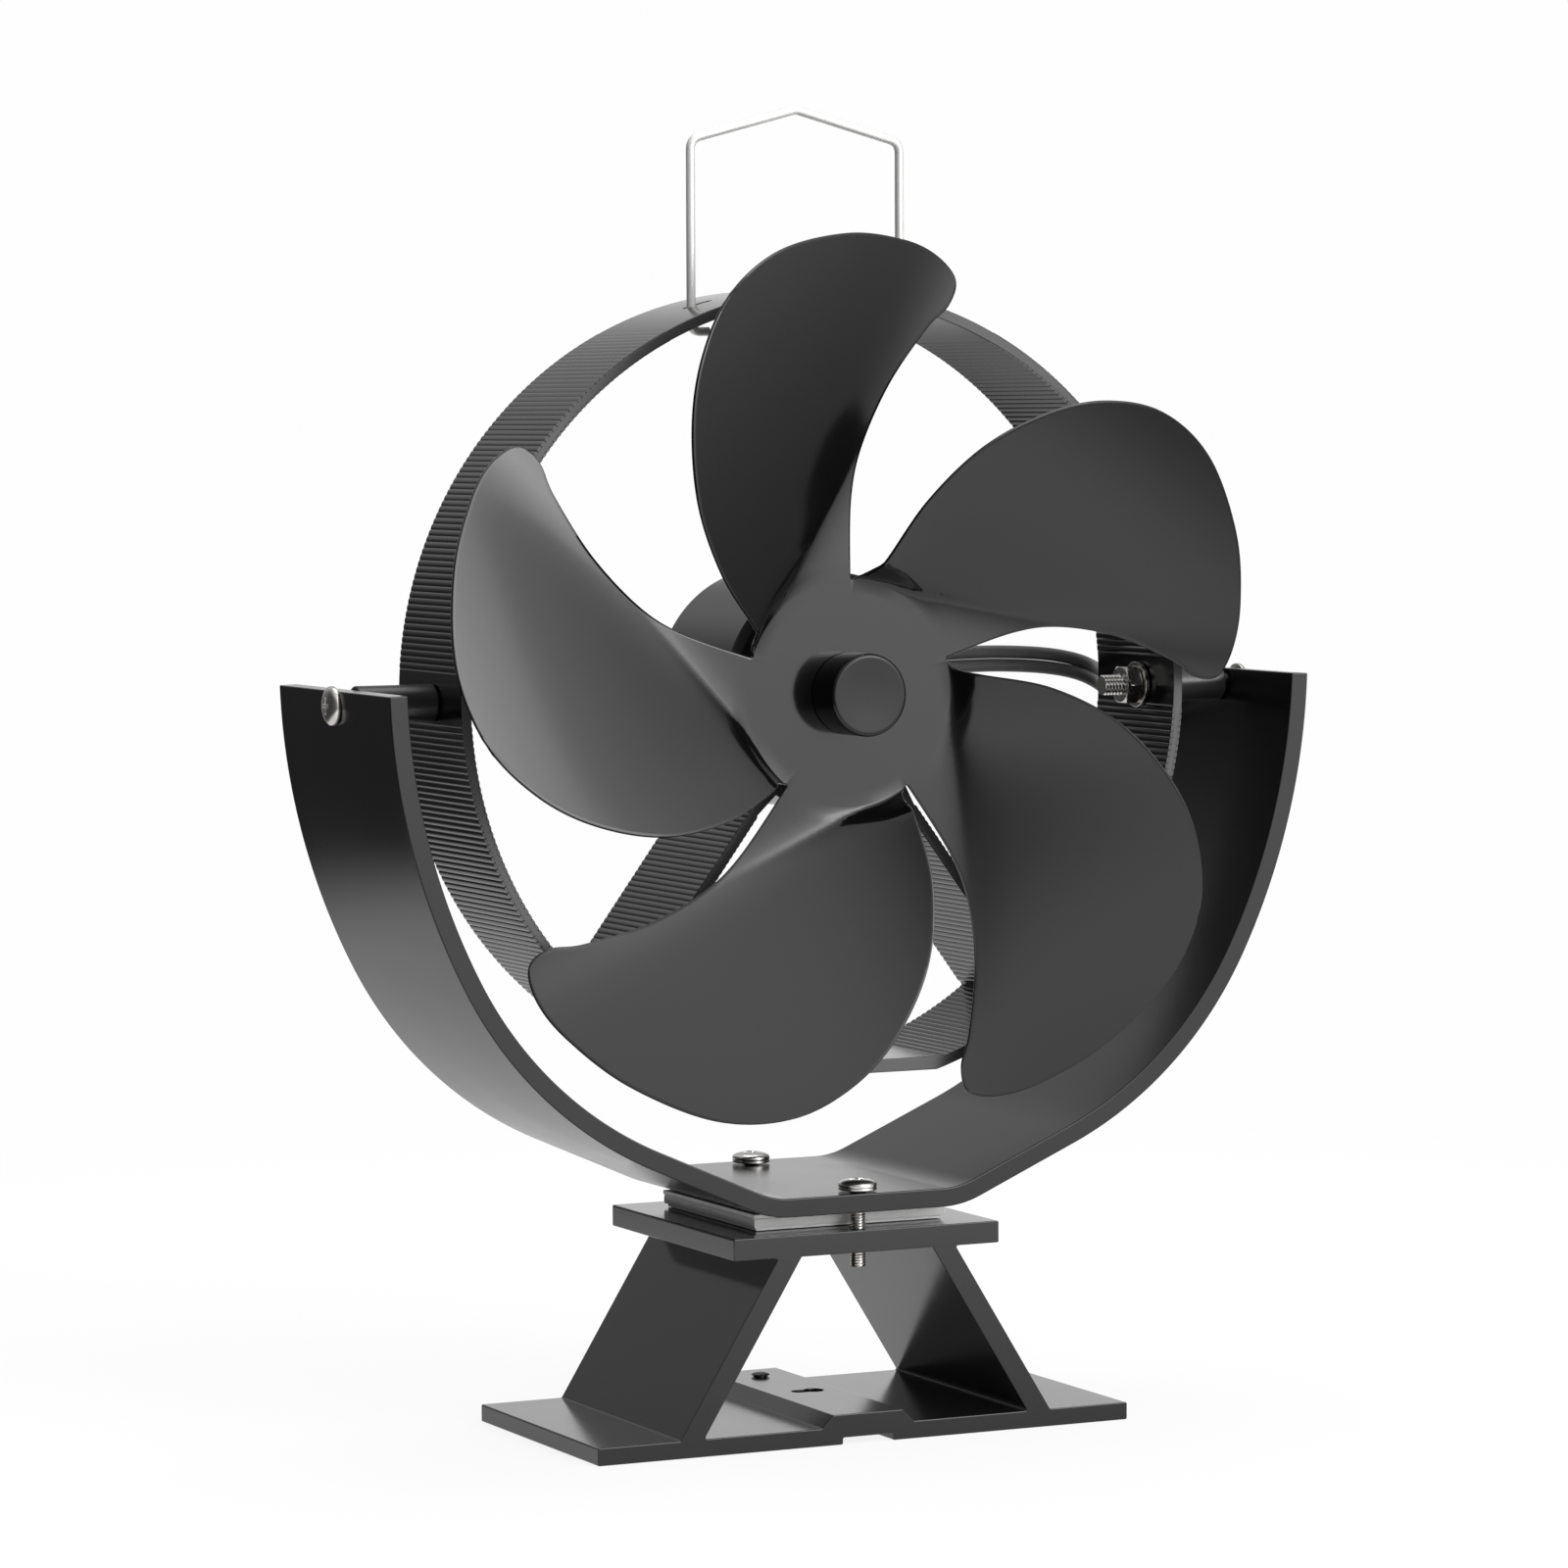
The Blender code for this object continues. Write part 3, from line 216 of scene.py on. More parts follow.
def bladeCoat():
    # Satin coating on the pressed sheet
    finish = Finish("bladeCoat")
    grain = finish.noise(5200)
    mottle = finish.noise(900, 3, roughness=0.6)
    cloud = finish.noise(22, 3)
    tone = 0.35 * grain + 0.35 * mottle + 0.3 * cloud
    colour = finish.between(tone, (0.0025, 0.0025, 0.0026), (0.0045, 0.0045, 0.0046))
    # Paler rims, in patches: partly wear on the coat, partly a painted highlight that keeps the thin edges from
    # reading dark
    wearAndEdgeHighlight = finish.edges(0.35 * mm) * finish.ranged(mottle, 0.3, 0.7)
    colour = finish.between(0.5 * wearAndEdgeHighlight, colour, (0.09, 0.09, 0.09))
    return finish.close(colour, 0.08 + 0.04 * mottle + 0.03 * cloud, grain + 0.5 * mottle, 0.002 * mm)


def platedSteel(name, shade, roughness):
    finish = Finish(name)
    cloud = finish.noise(240, 3)
    spots = finish.ranged(finish.noise(1500), 0.62, 0.72)
    colour = finish.between(0.7 * cloud + 0.3 * spots, shade, tuple(0.72 * part for part in shade))
    rough = roughness + 0.12 * cloud + 0.1 * spots
    return finish.close(colour, rough, finish.noise(3600), 0.006 * mm, metallic=1.0)


def drawnWire():
    # Bright wire, with lines along it from the die
    finish = Finish("drawnWire")
    lines = finish.noise(4200, 2, finish.stretched(1, 1, 0.03))
    colour = finish.between(finish.noise(160), (0.95, 0.945, 0.93), (0.86, 0.855, 0.84))
    return finish.close(colour, 0.3 + 0.14 * lines, lines, 0.003 * mm, metallic=0.45)


def ceramicPlate():
    finish = Finish("ceramicPlate")
    speck = finish.ranged(finish.noise(2600), 0.6, 0.75)
    cloud = finish.noise(130, 3)
    colour = finish.between(cloud, (0.84, 0.84, 0.83), (0.92, 0.92, 0.91))
    colour = finish.between(0.35 * speck, colour, (0.5, 0.5, 0.49))
    colour = finish.between(0.12 * finish.edges(0.25 * mm), colour, (0.42, 0.41, 0.4))
    return finish.close(colour, 0.42 + 0.15 * cloud, finish.noise(4200), 0.01 * mm)


def edgeSealant():
    # Silicone round the module's pellets, wiped by hand
    finish = Finish("edgeSealant")
    lumps = finish.noise(520, 3, roughness=0.6)
    colour = finish.between(lumps, (0.76, 0.76, 0.75), (0.9, 0.9, 0.89))
    return finish.close(colour, 0.5 + 0.2 * lumps, lumps, 0.09 * mm)


def motorPlate():
    # Zinc-plated can, brushed round its axis
    finish = Finish("motorPlate")
    across = finish.split(finish.stretched(1, 1, 1, centre=tuple(hub)))
    radius = (across * across + across.also("Z") * across.also("Z")) ** 0.5
    rings = finish.noise(9000, 2, finish.packed(X=radius, Y=across.also("Y") * 0.6))
    colour = finish.between(finish.noise(180, 3), (0.6, 0.6, 0.59), (0.44, 0.44, 0.43))
    return finish.close(colour, 0.26 + 0.16 * rings, rings, 0.006 * mm, metallic=1.0)


def mouldedPlastic(name, dark, light, roughness, depth):
    # Spark-eroded mould texture
    finish = Finish(name)
    grain = finish.noise(4300, 2, roughness=0.7)
    colour = finish.between(0.5 * grain + 0.5 * finish.noise(90), dark, light)
    return finish.close(colour, roughness + 0.14 * grain, grain, depth, specular=0.36)


def wireJacket():
    finish = Finish("wireJacket")
    ripple = finish.noise(1400)
    colour = finish.between(finish.noise(120), (0.15, 0.15, 0.151), (0.19, 0.19, 0.191))
    return finish.close(colour, 0.48 + 0.12 * ripple, ripple, 0.02 * mm)


def rolledStrip():
    # Two metals rolled together, painted dark to stand in for the shade it lies in under the base
    finish = Finish("rolledStrip")
    lines = finish.noise(2600, 2, finish.stretched(1, 0.02, 1))
    # Painted shade: a dark colour standing in for the shade under the base
    colour = finish.between(finish.noise(60, 3), (0.1, 0.09, 0.08), (0.07, 0.06, 0.06))
    return finish.close(colour, 0.32 + 0.2 * lines, lines, 0.008 * mm, metallic=1.0)


finishes = {
    "strap": strapPaint(),
    "foot": extrusionBlack("footBlack", (0.005, 0.005, 0.0052), (0.01, 0.01, 0.0103), 0.09, 0.25),
    "sink": extrusionBlack("sinkBlack", (0.003, 0.003, 0.0031), (0.006, 0.006, 0.0062), 0.12, 0.3),
    "sinkCut": extrusionBlack("sinkSawn", (0.055, 0.055, 0.055), (0.075, 0.075, 0.075), 0.4, 0.2),
    "blade": bladeCoat(),
    "screw": platedSteel("screwNickel", (0.72, 0.7, 0.67), 0.16),
    "tin": platedSteel("solderTin", (0.7, 0.7, 0.71), 0.3),
    "brass": platedSteel("bearingBrass", (0.62, 0.46, 0.2), 0.24),
    "shaft": platedSteel("shaftSteel", (0.6, 0.6, 0.6), 0.2),
    "wire": drawnWire(),
    "ceramic": ceramicPlate(),
    "sealant": edgeSealant(),
    "motor": motorPlate(),
    "knob": mouldedPlastic("knobPlastic", (0.001, 0.001, 0.001), (0.0015, 0.0015, 0.0015), 0.01, 0.001 * mm),
    "cap": mouldedPlastic("motorCapPlastic", (0.016, 0.016, 0.017), (0.026, 0.026, 0.027), 0.4, 0.016 * mm),
    "spacer": extrusionBlack("spacerBlack", (0.02, 0.02, 0.02), (0.03, 0.03, 0.03), 0.24, 0.6),
    "jacket": wireJacket(),
    "strip": rolledStrip(),
}
print("finishes made,", len(finishes))


# Mesh helpers

def linked(name, data):
    item = bpy.data.objects.new(name, data)
    bpy.context.scene.collection.objects.link(item)
    return item


def pieceFrom(name, bm):
    mesh = bpy.data.meshes.new(name)
    bm.to_mesh(mesh)
    bm.free()
    return linked(name, mesh)


def solidFrom(name, bm):
    bmesh.ops.remove_doubles(bm, verts=bm.verts, dist=0.0005 * mm)
    bmesh.ops.recalc_face_normals(bm, faces=bm.faces)
    return pieceFrom(name, bm)


def reshaped(piece, change):
    bm = bmesh.new()
    bm.from_mesh(piece.data)
    change(bm)
    bm.to_mesh(piece.data)
    bm.free()


def modified(piece, kind, **settings):
    modifier = piece.modifiers.new(kind.title(), kind)
    for key, value in settings.items():
        setattr(modifier, key, value)


def worked(piece):
    # Modifiers worked into a plain mesh
    bpy.context.view_layer.update()
    depsgraph = bpy.context.evaluated_depsgraph_get()
    mesh = bpy.data.meshes.new_from_object(piece.evaluated_get(depsgraph), depsgraph=depsgraph)
    piece.modifiers.clear()
    piece.data = mesh
    return piece


def smoothed(piece, degrees):
    # Smooth apart from edges sharper than this
    piece.data.shade_smooth()
    piece.data.set_sharp_from_angle(angle=radians(degrees))
    return piece


def eased(piece, width, segments=2, angle=40, sharp=13):
    # Edges broken by a small bevel, faces kept flat
    modified(piece, "BEVEL", width=width, segments=segments, limit_method="ANGLE",
             angle_limit=radians(angle), use_clamp_overlap=False, miter_outer="MITER_ARC")
    smoothed(worked(piece), sharp)
    modified(piece, "WEIGHTED_NORMAL", keep_sharp=True, weight=100)
    return worked(piece)


def cutWith(piece, cutters, operation="DIFFERENCE"):
    for cutter in cutters:
        modified(piece, "BOOLEAN", operation=operation, solver="EXACT", object=cutter)
    worked(piece)
    for cutter in cutters:
        bpy.data.objects.remove(cutter)
    return piece


def joined(name, pieces):
    bm = bmesh.new()
    for piece in pieces:
        bm.from_mesh(piece.data)
        bpy.data.objects.remove(piece)
    return pieceFrom(name, bm)


def painted(piece, *names):
    piece.data.materials.clear()
    for name in names:
        piece.data.materials.append(finishes[name])
    return piece


def handedOver(piece, body, node):
    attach(piece, body)
    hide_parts(node)
    return piece


def shares(steps):
    return [step / steps for step in range(steps + 1)]


def arcPoints(radius, start, end, steps, centre=(0, 0)):
    angles = [start + (end - start) * share for share in shares(steps)]
    return [(centre[0] + radius * cos(angle), centre[1] + radius * sin(angle)) for angle in angles]


def hexagon(radius):
    return arcPoints(radius, 0, tau, 6)[:-1]


def roundedCorner(before, here, after, radius, steps):
    here = Vector(here)
    back = Vector(before) - here
    ahead = Vector(after) - here
    reach = min(radius / tan(back.angle(ahead) / 2), back.length / 2, ahead.length / 2)
    first = here + back.normalized() * reach
    last = here + ahead.normalized() * reach
    return [first.lerp(here, share).lerp(here.lerp(last, share), share) for share in shares(steps)]


def roundedOutline(points, radius):
    result = []
    for index, corner in enumerate(points):
        after = points[(index + 1) % len(points)]
        result += [tuple(point) for point in roundedCorner(points[index - 1], corner, after, radius, 5)]
    return result


def mirrored(half):
    return half + [(-x, z) for x, z in reversed(half)]


def extruded(loops, front, back):
    # (x, z) outlines, the first outside and the rest holes, pulled along the depth
    bm = bmesh.new()
    edges = []
    for loop in loops:
        corners = [bm.verts.new((x, front, z)) for x, z in loop]
        edges += [bm.edges.new((corners[index - 1], corner)) for index, corner in enumerate(corners)]
    if len(loops) == 1:
        bm.faces.new(corners)
    else:
        bmesh.ops.triangle_fill(bm, use_beauty=True, edges=edges)
        inside = [edge for edge in bm.edges if not edge.is_boundary]
        bmesh.ops.dissolve_limit(bm, angle_limit=0.01, verts=[], edges=inside)
    pulled = bmesh.ops.extrude_face_region(bm, geom=list(bm.faces))["geom"]
    moved = [item for item in pulled if isinstance(item, bmesh.types.BMVert)]
    bmesh.ops.translate(bm, verts=moved, vec=(0, back - front, 0))
    return bm


def shifted(bm, *offset):
    bmesh.ops.translate(bm, verts=bm.verts, vec=offset)
    return bm


def aimed(bm, axis, centre):
    turns = {
        "+X": Matrix.Rotation(pi / 2, 4, "Y"),
        "-X": Matrix.Rotation(-pi / 2, 4, "Y"),
        "+Y": Matrix.Rotation(-pi / 2, 4, "X"),
        "+Z": Matrix.Identity(4),
    }
    bmesh.ops.transform(bm, matrix=Matrix.Translation(centre) @ turns[axis], verts=bm.verts)
    return bm


def turned(outline, axis, centre, steps, closed=False):
    # (radius, distance along the axis) points spun round the axis
    bm = bmesh.new()
    corners = [bm.verts.new((radius, 0, along)) for radius, along in outline]
    edges = [bm.edges.new(pair) for pair in zip(corners, corners[1:])]
    if closed:
        edges.append(bm.edges.new((corners[-1], corners[0])))
    bmesh.ops.spin(bm, geom=corners + edges, axis=(0, 0, 1), cent=(0, 0, 0), steps=steps, angle=tau)
    bmesh.ops.remove_doubles(bm, verts=bm.verts, dist=0.001 * mm)
    return aimed(bm, axis, centre)


def turnedInDepth(outline, steps):
    # (radius, depth) points spun round the hub's axis
    return turned([(radius, depth - middleDepth) for radius, depth in outline], "+Y", hub, steps)


def drum(radius, start, end):
    return [(0, start), (radius, start), (radius, end), (0, end)]


def bore(radius, start, end, place, axis="+Z", steps=32):
    return solidFrom("bore", turned(drum(radius, start, end), axis, place, steps))


def pulledUp(outline, bottom, top, taper=1.0):
    # (x, y) outline pulled up along Z, its lower end drawn in
    bm = bmesh.new()
    low = [bm.verts.new((x * taper, y * taper, bottom)) for x, y in outline]
    high = [bm.verts.new((x, y, top)) for x, y in outline]
    bm.faces.new(low[::-1])
    bm.faces.new(high)
    for index in range(len(outline)):
        bm.faces.new((low[index - 1], low[index], high[index], high[index - 1]))
    return bm


def stadium(length, width):
    straight = (length - width) / 2
    right = arcPoints(width / 2, -pi / 2, pi / 2, 12, (straight, 0))
    return right + arcPoints(width / 2, pi / 2, 3 * pi / 2, 12, (-straight, 0))


def block(low, high):
    bm = bmesh.new()
    bmesh.ops.create_cube(bm, size=1)
    matrix = Matrix.Translation((high + low) / 2) @ Matrix.Diagonal((*(high - low), 1))
    bmesh.ops.transform(bm, matrix=matrix, verts=bm.verts)
    return bm


# Geometry Nodes trees, and how a piece takes one

class ShapeTree(Bench):
    def __init__(self, name, **sizes):
        super().__init__(bpy.data.node_groups.new(name, "GeometryNodeTree"))
        self.tree.is_modifier = True
        face = self.tree.interface
        face.new_socket("Geometry", in_out="OUTPUT", socket_type="NodeSocketGeometry")
        face.new_socket("Geometry", in_out="INPUT", socket_type="NodeSocketGeometry")
        self.keys = {}
        for label, kind in {**sizes, "Material": "Material"}.items():
            item = face.new_socket(label, in_out="INPUT", socket_type="NodeSocket" + kind)
            self.keys[label] = item.identifier
        self.given = self.node("NodeGroupInput")

    def size(self, label):
        return self.given.also(label)

    def line(self, spacing):
        # The piece's own edges as a curve with even steps
        line = self.node("GeometryNodeMeshToCurve", {"Mesh": self.size("Geometry")})
        return self.node("GeometryNodeResampleCurve", {"Curve": line, "Length": spacing}, mode="LENGTH")

    def circle(self, sides, radius):
        sockets = {"Resolution": sides, "Radius": radius}
        return self.node("GeometryNodeCurvePrimitiveCircle", sockets, "Curve", mode="RADIUS")

    def swept(self, line, section):
        sockets = {"Curve": line, "Profile Curve": section, "Fill Caps": True}
        return self.node("GeometryNodeCurveToMesh", sockets)

    def finish(self, shape):
        real = self.node("GeometryNodeRealizeInstances", {"Geometry": shape})
        made = self.node("GeometryNodeSetMaterial", {"Geometry": real, "Material": self.size("Material")})
        self.node("NodeGroupOutput", {"Geometry": made})
        return self

    def work(self, piece, **values):
        modifier = piece.modifiers.new(self.tree.name, "NODES")
        modifier.node_group = self.tree
        for label, value in values.items():
            modifier[self.keys[label]] = value
        return worked(piece)


def ribTree():
    # A low rounded rib along the depth at every step of a wall's line, wider than a step, so that only crests show
    tree = ShapeTree("ribsAlongWall", Pitch="Float", Width="Float", Height="Float", Length="Float")
    squeeze = tree.packed(X=tree.size("Width") / 2, Y=tree.size("Height"), Z=1.0)
    section = tree.node("GeometryNodeTransform", {"Geometry": tree.circle(32, 1.0), "Scale": squeeze})
    half = tree.size("Length") / 2
    ends = {"Start": tree.packed(Y=0 - half), "End": tree.packed(Y=half)}
    bar = tree.swept(tree.node("GeometryNodeCurvePrimitiveLine", ends), section)
    tangent = tree.node("GeometryNodeInputTangent")
    turn = tree.node("FunctionNodeAlignRotationToVector", {"Vector": tangent}, axis="X", pivot_axis="Y")
    share = tree.node("GeometryNodeInputNamedAttribute", {"Name": "ribShare"}, data_type="FLOAT")
    return tree.finish(tree.node("GeometryNodeInstanceOnPoints", {
        "Points": tree.line(tree.size("Pitch")),
        "Instance": bar,
        "Rotation": turn,
        "Scale": tree.packed(X=1.0, Y=1.0, Z=share),
    }))


def threadTree():
    # A cylinder whose wall rises and falls along a helix
    tree = ShapeTree("screwThread", Radius="Float", Pitch="Float", Depth="Float", Length="Float", Rows="Int")
    rod = tree.node("GeometryNodeMeshCylinder", {
        "Vertices": 28,
        "Side Segments": tree.size("Rows"),
        "Radius": tree.size("Radius"),
        "Depth": tree.size("Length"),
    })
    across = tree.split(tree.node("GeometryNodeInputPosition"))
    up = across.also("Z")
    angle = across.join("ARCTAN2", across.also("Y"), across)
    phase = up / tree.size("Pitch") - angle / tau
    crest = abs(2 * phase.join("FRACT", phase) - 1)
    keep = 1 - tree.size("Depth") * crest / tree.size("Radius")
    moved = tree.packed(X=across * keep, Y=across.also("Y") * keep, Z=up)
    return tree.finish(tree.node("GeometryNodeSetPosition", {"Geometry": rod, "Position": moved}))


def tubeTree():
    # A round wire along the piece's own line
    tree = ShapeTree("wireAlongLine", Radius="Float", Spacing="Float", Sides="Int")
    section = tree.circle(tree.size("Sides"), tree.size("Radius"))
    return tree.finish(tree.swept(tree.line(tree.size("Spacing")), section))


def sectorTree():
    # One sector copied round the propeller's axis and sewn to its neighbours
    tree = ShapeTree("bladesRoundHub", Blades="Int", Seam="Float", Hub="Vector")
    index = tree.node("GeometryNodeInputIndex")
    ring = tree.node("GeometryNodeInstanceOnPoints", {
        "Points": tree.node("GeometryNodePoints", {"Count": tree.size("Blades")}),
        "Instance": tree.size("Geometry"),
        "Rotation": tree.packed(Y=index * tau / tree.size("Blades")),
    })
    real = tree.node("GeometryNodeRealizeInstances", {"Geometry": ring})
    sewn = tree.node("GeometryNodeMergeByDistance", {"Geometry": real, "Distance": tree.size("Seam")})
    return tree.finish(tree.node("GeometryNodeTransform", {"Geometry": sewn, "Translation": tree.size("Hub")}))


ribs = ribTree()
thread = threadTree()
tube = tubeTree()
sectors = sectorTree()


def lineFrom(name, runs, ribShares=None):
    # Open lines of points as loose edges, with a share on each point where it is given
    mesh = bpy.data.meshes.new(name)
    places = [tuple(point) for run in runs for point in run]
    edges = []
    start = 0
    for run in runs:
        edges += [(index, index + 1) for index in range(start, start + len(run) - 1)]
        start += len(run)
    mesh.from_pydata(places, edges, [])
    if ribShares:
        mesh.attributes.new("ribShare", "FLOAT", "POINT").data.foreach_set("value", ribShares)
    return linked(name, mesh)


# Foot: one extrusion with its keyhole and screw holes

footSizes = {
    "baseWidth": 110 * mm,
    "baseThickness": 3.3 * mm,
    "plateWidth": 55 * mm,
    "plateThickness": 4.1 * mm,
    "legThickness": 4.1 * mm,
    "legTopSpread": 36.8 * mm,
    "legBaseSpread": 76.8 * mm,
    "raisedWidth": 14.4 * mm,
    "raisedHeight": 2.35 * mm,
    "channelWidth": 10.4 * mm,
    "channelDepth": 1.3 * mm,
    "sectionCorner": 0.4 * mm,
    "cutEdge": 0.18 * mm,
    "screwOffset": 22.8 * mm,
    "rivetOffset": 19 * mm,
    "rivetHole": 1.35 * mm,
    "keyholeLength": 5 * mm,
    "keyholeWidth": 2.6 * mm,
    "keyholeRadius": 1.9 * mm,
    "keyholeOffset": 2 * mm,
}


def clampHoles(bottom, top):
    places = [(0, middleDepth + side * footSizes["screwOffset"], 0) for side in (-1, 1)]
    return [bore(clampHole, bottom - overrun, top + overrun, place) for place in places]


def buildFoot(sizes):
    base = sizes["baseThickness"]
    raised = base + sizes["raisedHeight"]
    plateBottom = footTop - sizes["plateThickness"]
    widths = ("baseWidth", "plateWidth", "legTopSpread", "legBaseSpread", "raisedWidth", "channelWidth")
    baseHalf, plateHalf, legTop, legBase, raisedHalf, channelHalf = (sizes[name] / 2 for name in widths)
    legWidth = sizes["legThickness"] / cos(atan2(legBase - legTop, plateBottom - base))
    outside = [
        (channelHalf, sizes["channelDepth"]), (channelHalf, 0), (baseHalf, 0), (baseHalf, base),
        (legBase, base), (legTop, plateBottom), (plateHalf, plateBottom), (plateHalf, footTop),
    ]
    window = [
        (raisedHalf, raised), (raisedHalf + sizes["raisedHeight"], base),
        (legBase - legWidth, base), (legTop - legWidth, plateBottom),
    ]
    loops = [roundedOutline(mirrored(half), sizes["sectionCorner"]) for half in (outside, window)]
    foot = solidFrom("footExtrusion", extruded(loops, stockFront, stockBack))
    low, high = -overrun, raised + overrun
    slot = pulledUp(stadium(sizes["keyholeLength"], sizes["keyholeWidth"]), low, high)
    cutWith(foot, clampHoles(plateBottom, footTop) + [
        bore(sizes["rivetHole"], low, high, (0, middleDepth + sizes["rivetOffset"], 0)),
        solidFrom("keyholeSlot", shifted(slot, 0, middleDepth, 0)),
        bore(sizes["keyholeRadius"], low, high, (sizes["keyholeOffset"], middleDepth, 0), steps=40),
    ])
    eased(foot, sizes["cutEdge"], 2, 50)
    handedOver(painted(foot, "foot"), "stand", "foot_extrusion")


buildFoot(footSizes)


# Overheat strip and its rivet under the base

stripSizes = {
    "edge": 0.12 * mm,
    "rivetRadius": 1.2 * mm,
    "rivetEdge": 0.08 * mm,
    "headRadius": 1.8 * mm,
    "headHeight": 0.6 * mm,
}


def buildStrip(sizes):
    low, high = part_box("bimetal_strip")
    rivetLow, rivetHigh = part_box("strip_rivet")
    place = (0, middleOf("strip_rivet").y, 0)
    strip = solidFrom("overheatStrip", block(low, high))
    cutWith(strip, [bore(footSizes["rivetHole"], -overrun, high.z + overrun, place)])
    eased(strip, sizes["edge"])
    handedOver(painted(strip, "strip"), "stand", "bimetal_strip")
    squeeze = sizes["headHeight"] / sizes["headRadius"]
    headBase = rivetHigh.z - sizes["headHeight"]
    dome = arcPoints(sizes["headRadius"], 0, pi / 2, 8)
    outline = drum(sizes["rivetRadius"], rivetLow.z, headBase)[:3]
    outline += [(max(0, x), headBase + z * squeeze) for x, z in dome]
    rivet = eased(solidFrom("stripRivet", turned(outline, "+Z", place, 32)), sizes["rivetEdge"], 2, 50)
    handedOver(painted(rivet, "spacer"), "stand", "strip_rivet")


buildStrip(stripSizes)


# Thermoelectric module: two ceramic plates and the sealed rows of pellets between them

moduleSizes = {
    "plateEdge": 0.1 * mm,
    "bulge": 0.09 * mm,
    "lump": 0.45,
    "wavesAcross": 900,
    "wavesBack": 1100,
    "cuts": 20,
}


def buildModule(sizes):
    for name, node in (("hotPlate", "module_hot_plate"), ("coldPlate", "module_cold_plate")):
        plate = eased(solidFrom(name, block(*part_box(node))), sizes["plateEdge"])
        handedOver(painted(plate, "ceramic"), "stand", node)
    low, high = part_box("module_core")
    middle = (low + high) / 2
    half = (high - low) / 2
    bm = block(low, high)
    bmesh.ops.subdivide_edges(bm, edges=bm.edges, cuts=sizes["cuts"], use_grid_fill=True)
    for corner in bm.verts:
        spot = corner.co
        waves = abs(sin(spot.x * sizes["wavesAcross"]) * sin(spot.y * sizes["wavesBack"]))
        inset = sizes["bulge"] * ((abs(spot.z - middle.z) / half.z) ** 2 + sizes["lump"] * waves)
        for axis in (0, 1):
            out = spot[axis] - middle[axis]
            if abs(out) > half[axis] - 0.01 * mm:
                spot[axis] -= copysign(inset, out)
    core = smoothed(solidFrom("moduleCore", bm), 40)
    handedOver(painted(core, "sealant"), "stand", "module_core")


buildModule(moduleSizes)
print("foot and module made")


# Yoke: a flat strap bent to a U

strapSizes = {
    "thickness": 3.5 * mm,
    "flatHalfWidth": 15.68 * mm,
    "shoulderBend": 20 * mm,
    "shoulderAngle": radians(23.6),
    "shoulderLength": 21.68 * mm,
    "tightRadius": 76 * mm,
    "tightEnd": radians(62),
    "wideEnd": radians(88),
    "abovePivot": 2.7 * mm,
    "bendSteps": 10,
    "arcSteps": 40,
    "edge": 0.22 * mm,
}


def strapSide(sizes, offset):
    # Half of the strap's line from the flat's edge to the arm's end, moved in from its outer face by offset
    trail = []
    x, z = sizes["flatHalfWidth"], strapBottom
    shoulder, tight, wide = sizes["shoulderAngle"], sizes["tightEnd"], sizes["wideEnd"]
    bends = [
        (0, shoulder, sizes["shoulderBend"], sizes["bendSteps"]),
        (shoulder, tight, sizes["tightRadius"], sizes["arcSteps"]),
        (tight, wide, None, sizes["arcSteps"]),
    ]
    for start, end, radius, steps in bends:
        if radius is None:
            radius = (pivotHeight + sizes["abovePivot"] - z) / (cos(start) - cos(end))
        for share in shares(steps):
            heading = start + (end - start) * share
            pointX = x + radius * (sin(heading) - sin(start)) - offset * sin(heading)
            pointZ = z + radius * (cos(start) - cos(heading)) + offset * cos(heading)
            trail.append((pointX, pointZ))
        x += radius * (sin(end) - sin(start))
        z += radius * (cos(start) - cos(end))
        if end == shoulder:
            x += sizes["shoulderLength"] * cos(end)
            z += sizes["shoulderLength"] * sin(end)
        if end == tight:
            trail.pop()
    return trail


def armFaceAt(height, offset):
    trail = strapSide(strapSizes, offset)
    for (x0, z0), (x1, z1) in zip(trail, trail[1:]):
        if z0 <= height <= z1 and z1 > z0:
            return x0 + (x1 - x0) * (height - z0) / (z1 - z0)
    return trail[-1][0]


armFace = armFaceAt(pivotHeight, 0)


def buildYoke(sizes):
    thickness = sizes["thickness"]
    outline = mirrored(strapSide(sizes, 0) + strapSide(sizes, thickness)[::-1])
    yoke = solidFrom("yokeStrap", extruded([outline], stockFront, stockBack))
    cutters = clampHoles(strapBottom, strapBottom + thickness)
    for side in (-1, 1):
        place = (side * armFaceAt(pivotHeight, thickness / 2), middleDepth, pivotHeight)
        cutters.append(bore(pivotHole, -thickness, thickness, place, "+X"))
    eased(cutWith(yoke, cutters), sizes["edge"], 3, 50)
    handedOver(painted(yoke, "strap"), "stand", "yoke")


buildYoke(strapSizes)
print("yoke made")


# Screws, washers, spacers and nuts

screwSizes = {
    "clamp": {"radius": 1.5 * mm, "pitch": 0.5 * mm, "depth": 0.26 * mm, "head": 3.6 * mm, "headHeight": 1.55 * mm},
    "pivot": {"radius": 2 * mm, "pitch": 0.7 * mm, "depth": 0.34 * mm, "head": 3.6 * mm, "headHeight": 1.75 * mm},
    "headSteps": 12,
    "rimRise": 0.3,
    "domeFullness": 0.8,
    "seatReach": 0.94,
    "seatRise": 0.06,
    "headEdge": 0.07 * mm,
    "recessReach": 0.58,
    "recessWidth": 0.24,
    "recessDepth": 0.62,
    "recessTaper": 0.55,
    "rowsPerTurn": 6,
    "threadSink": 0.1 * mm,
    "threadPast": 0.5 * mm,
    "nutFlats": 7 * mm,
    "nutBore": 2.1 * mm,
    "nutFace": 0.97,
    "nutBlank": 1.02,
    "nutEdge": 0.06 * mm,
    "washerEdge": 0.1 * mm,
    "spacerEdge": 0.25 * mm,
}


def nameOf(node):
    first, *rest = node.split("_")
    return first + "".join(word.title() for word in rest)


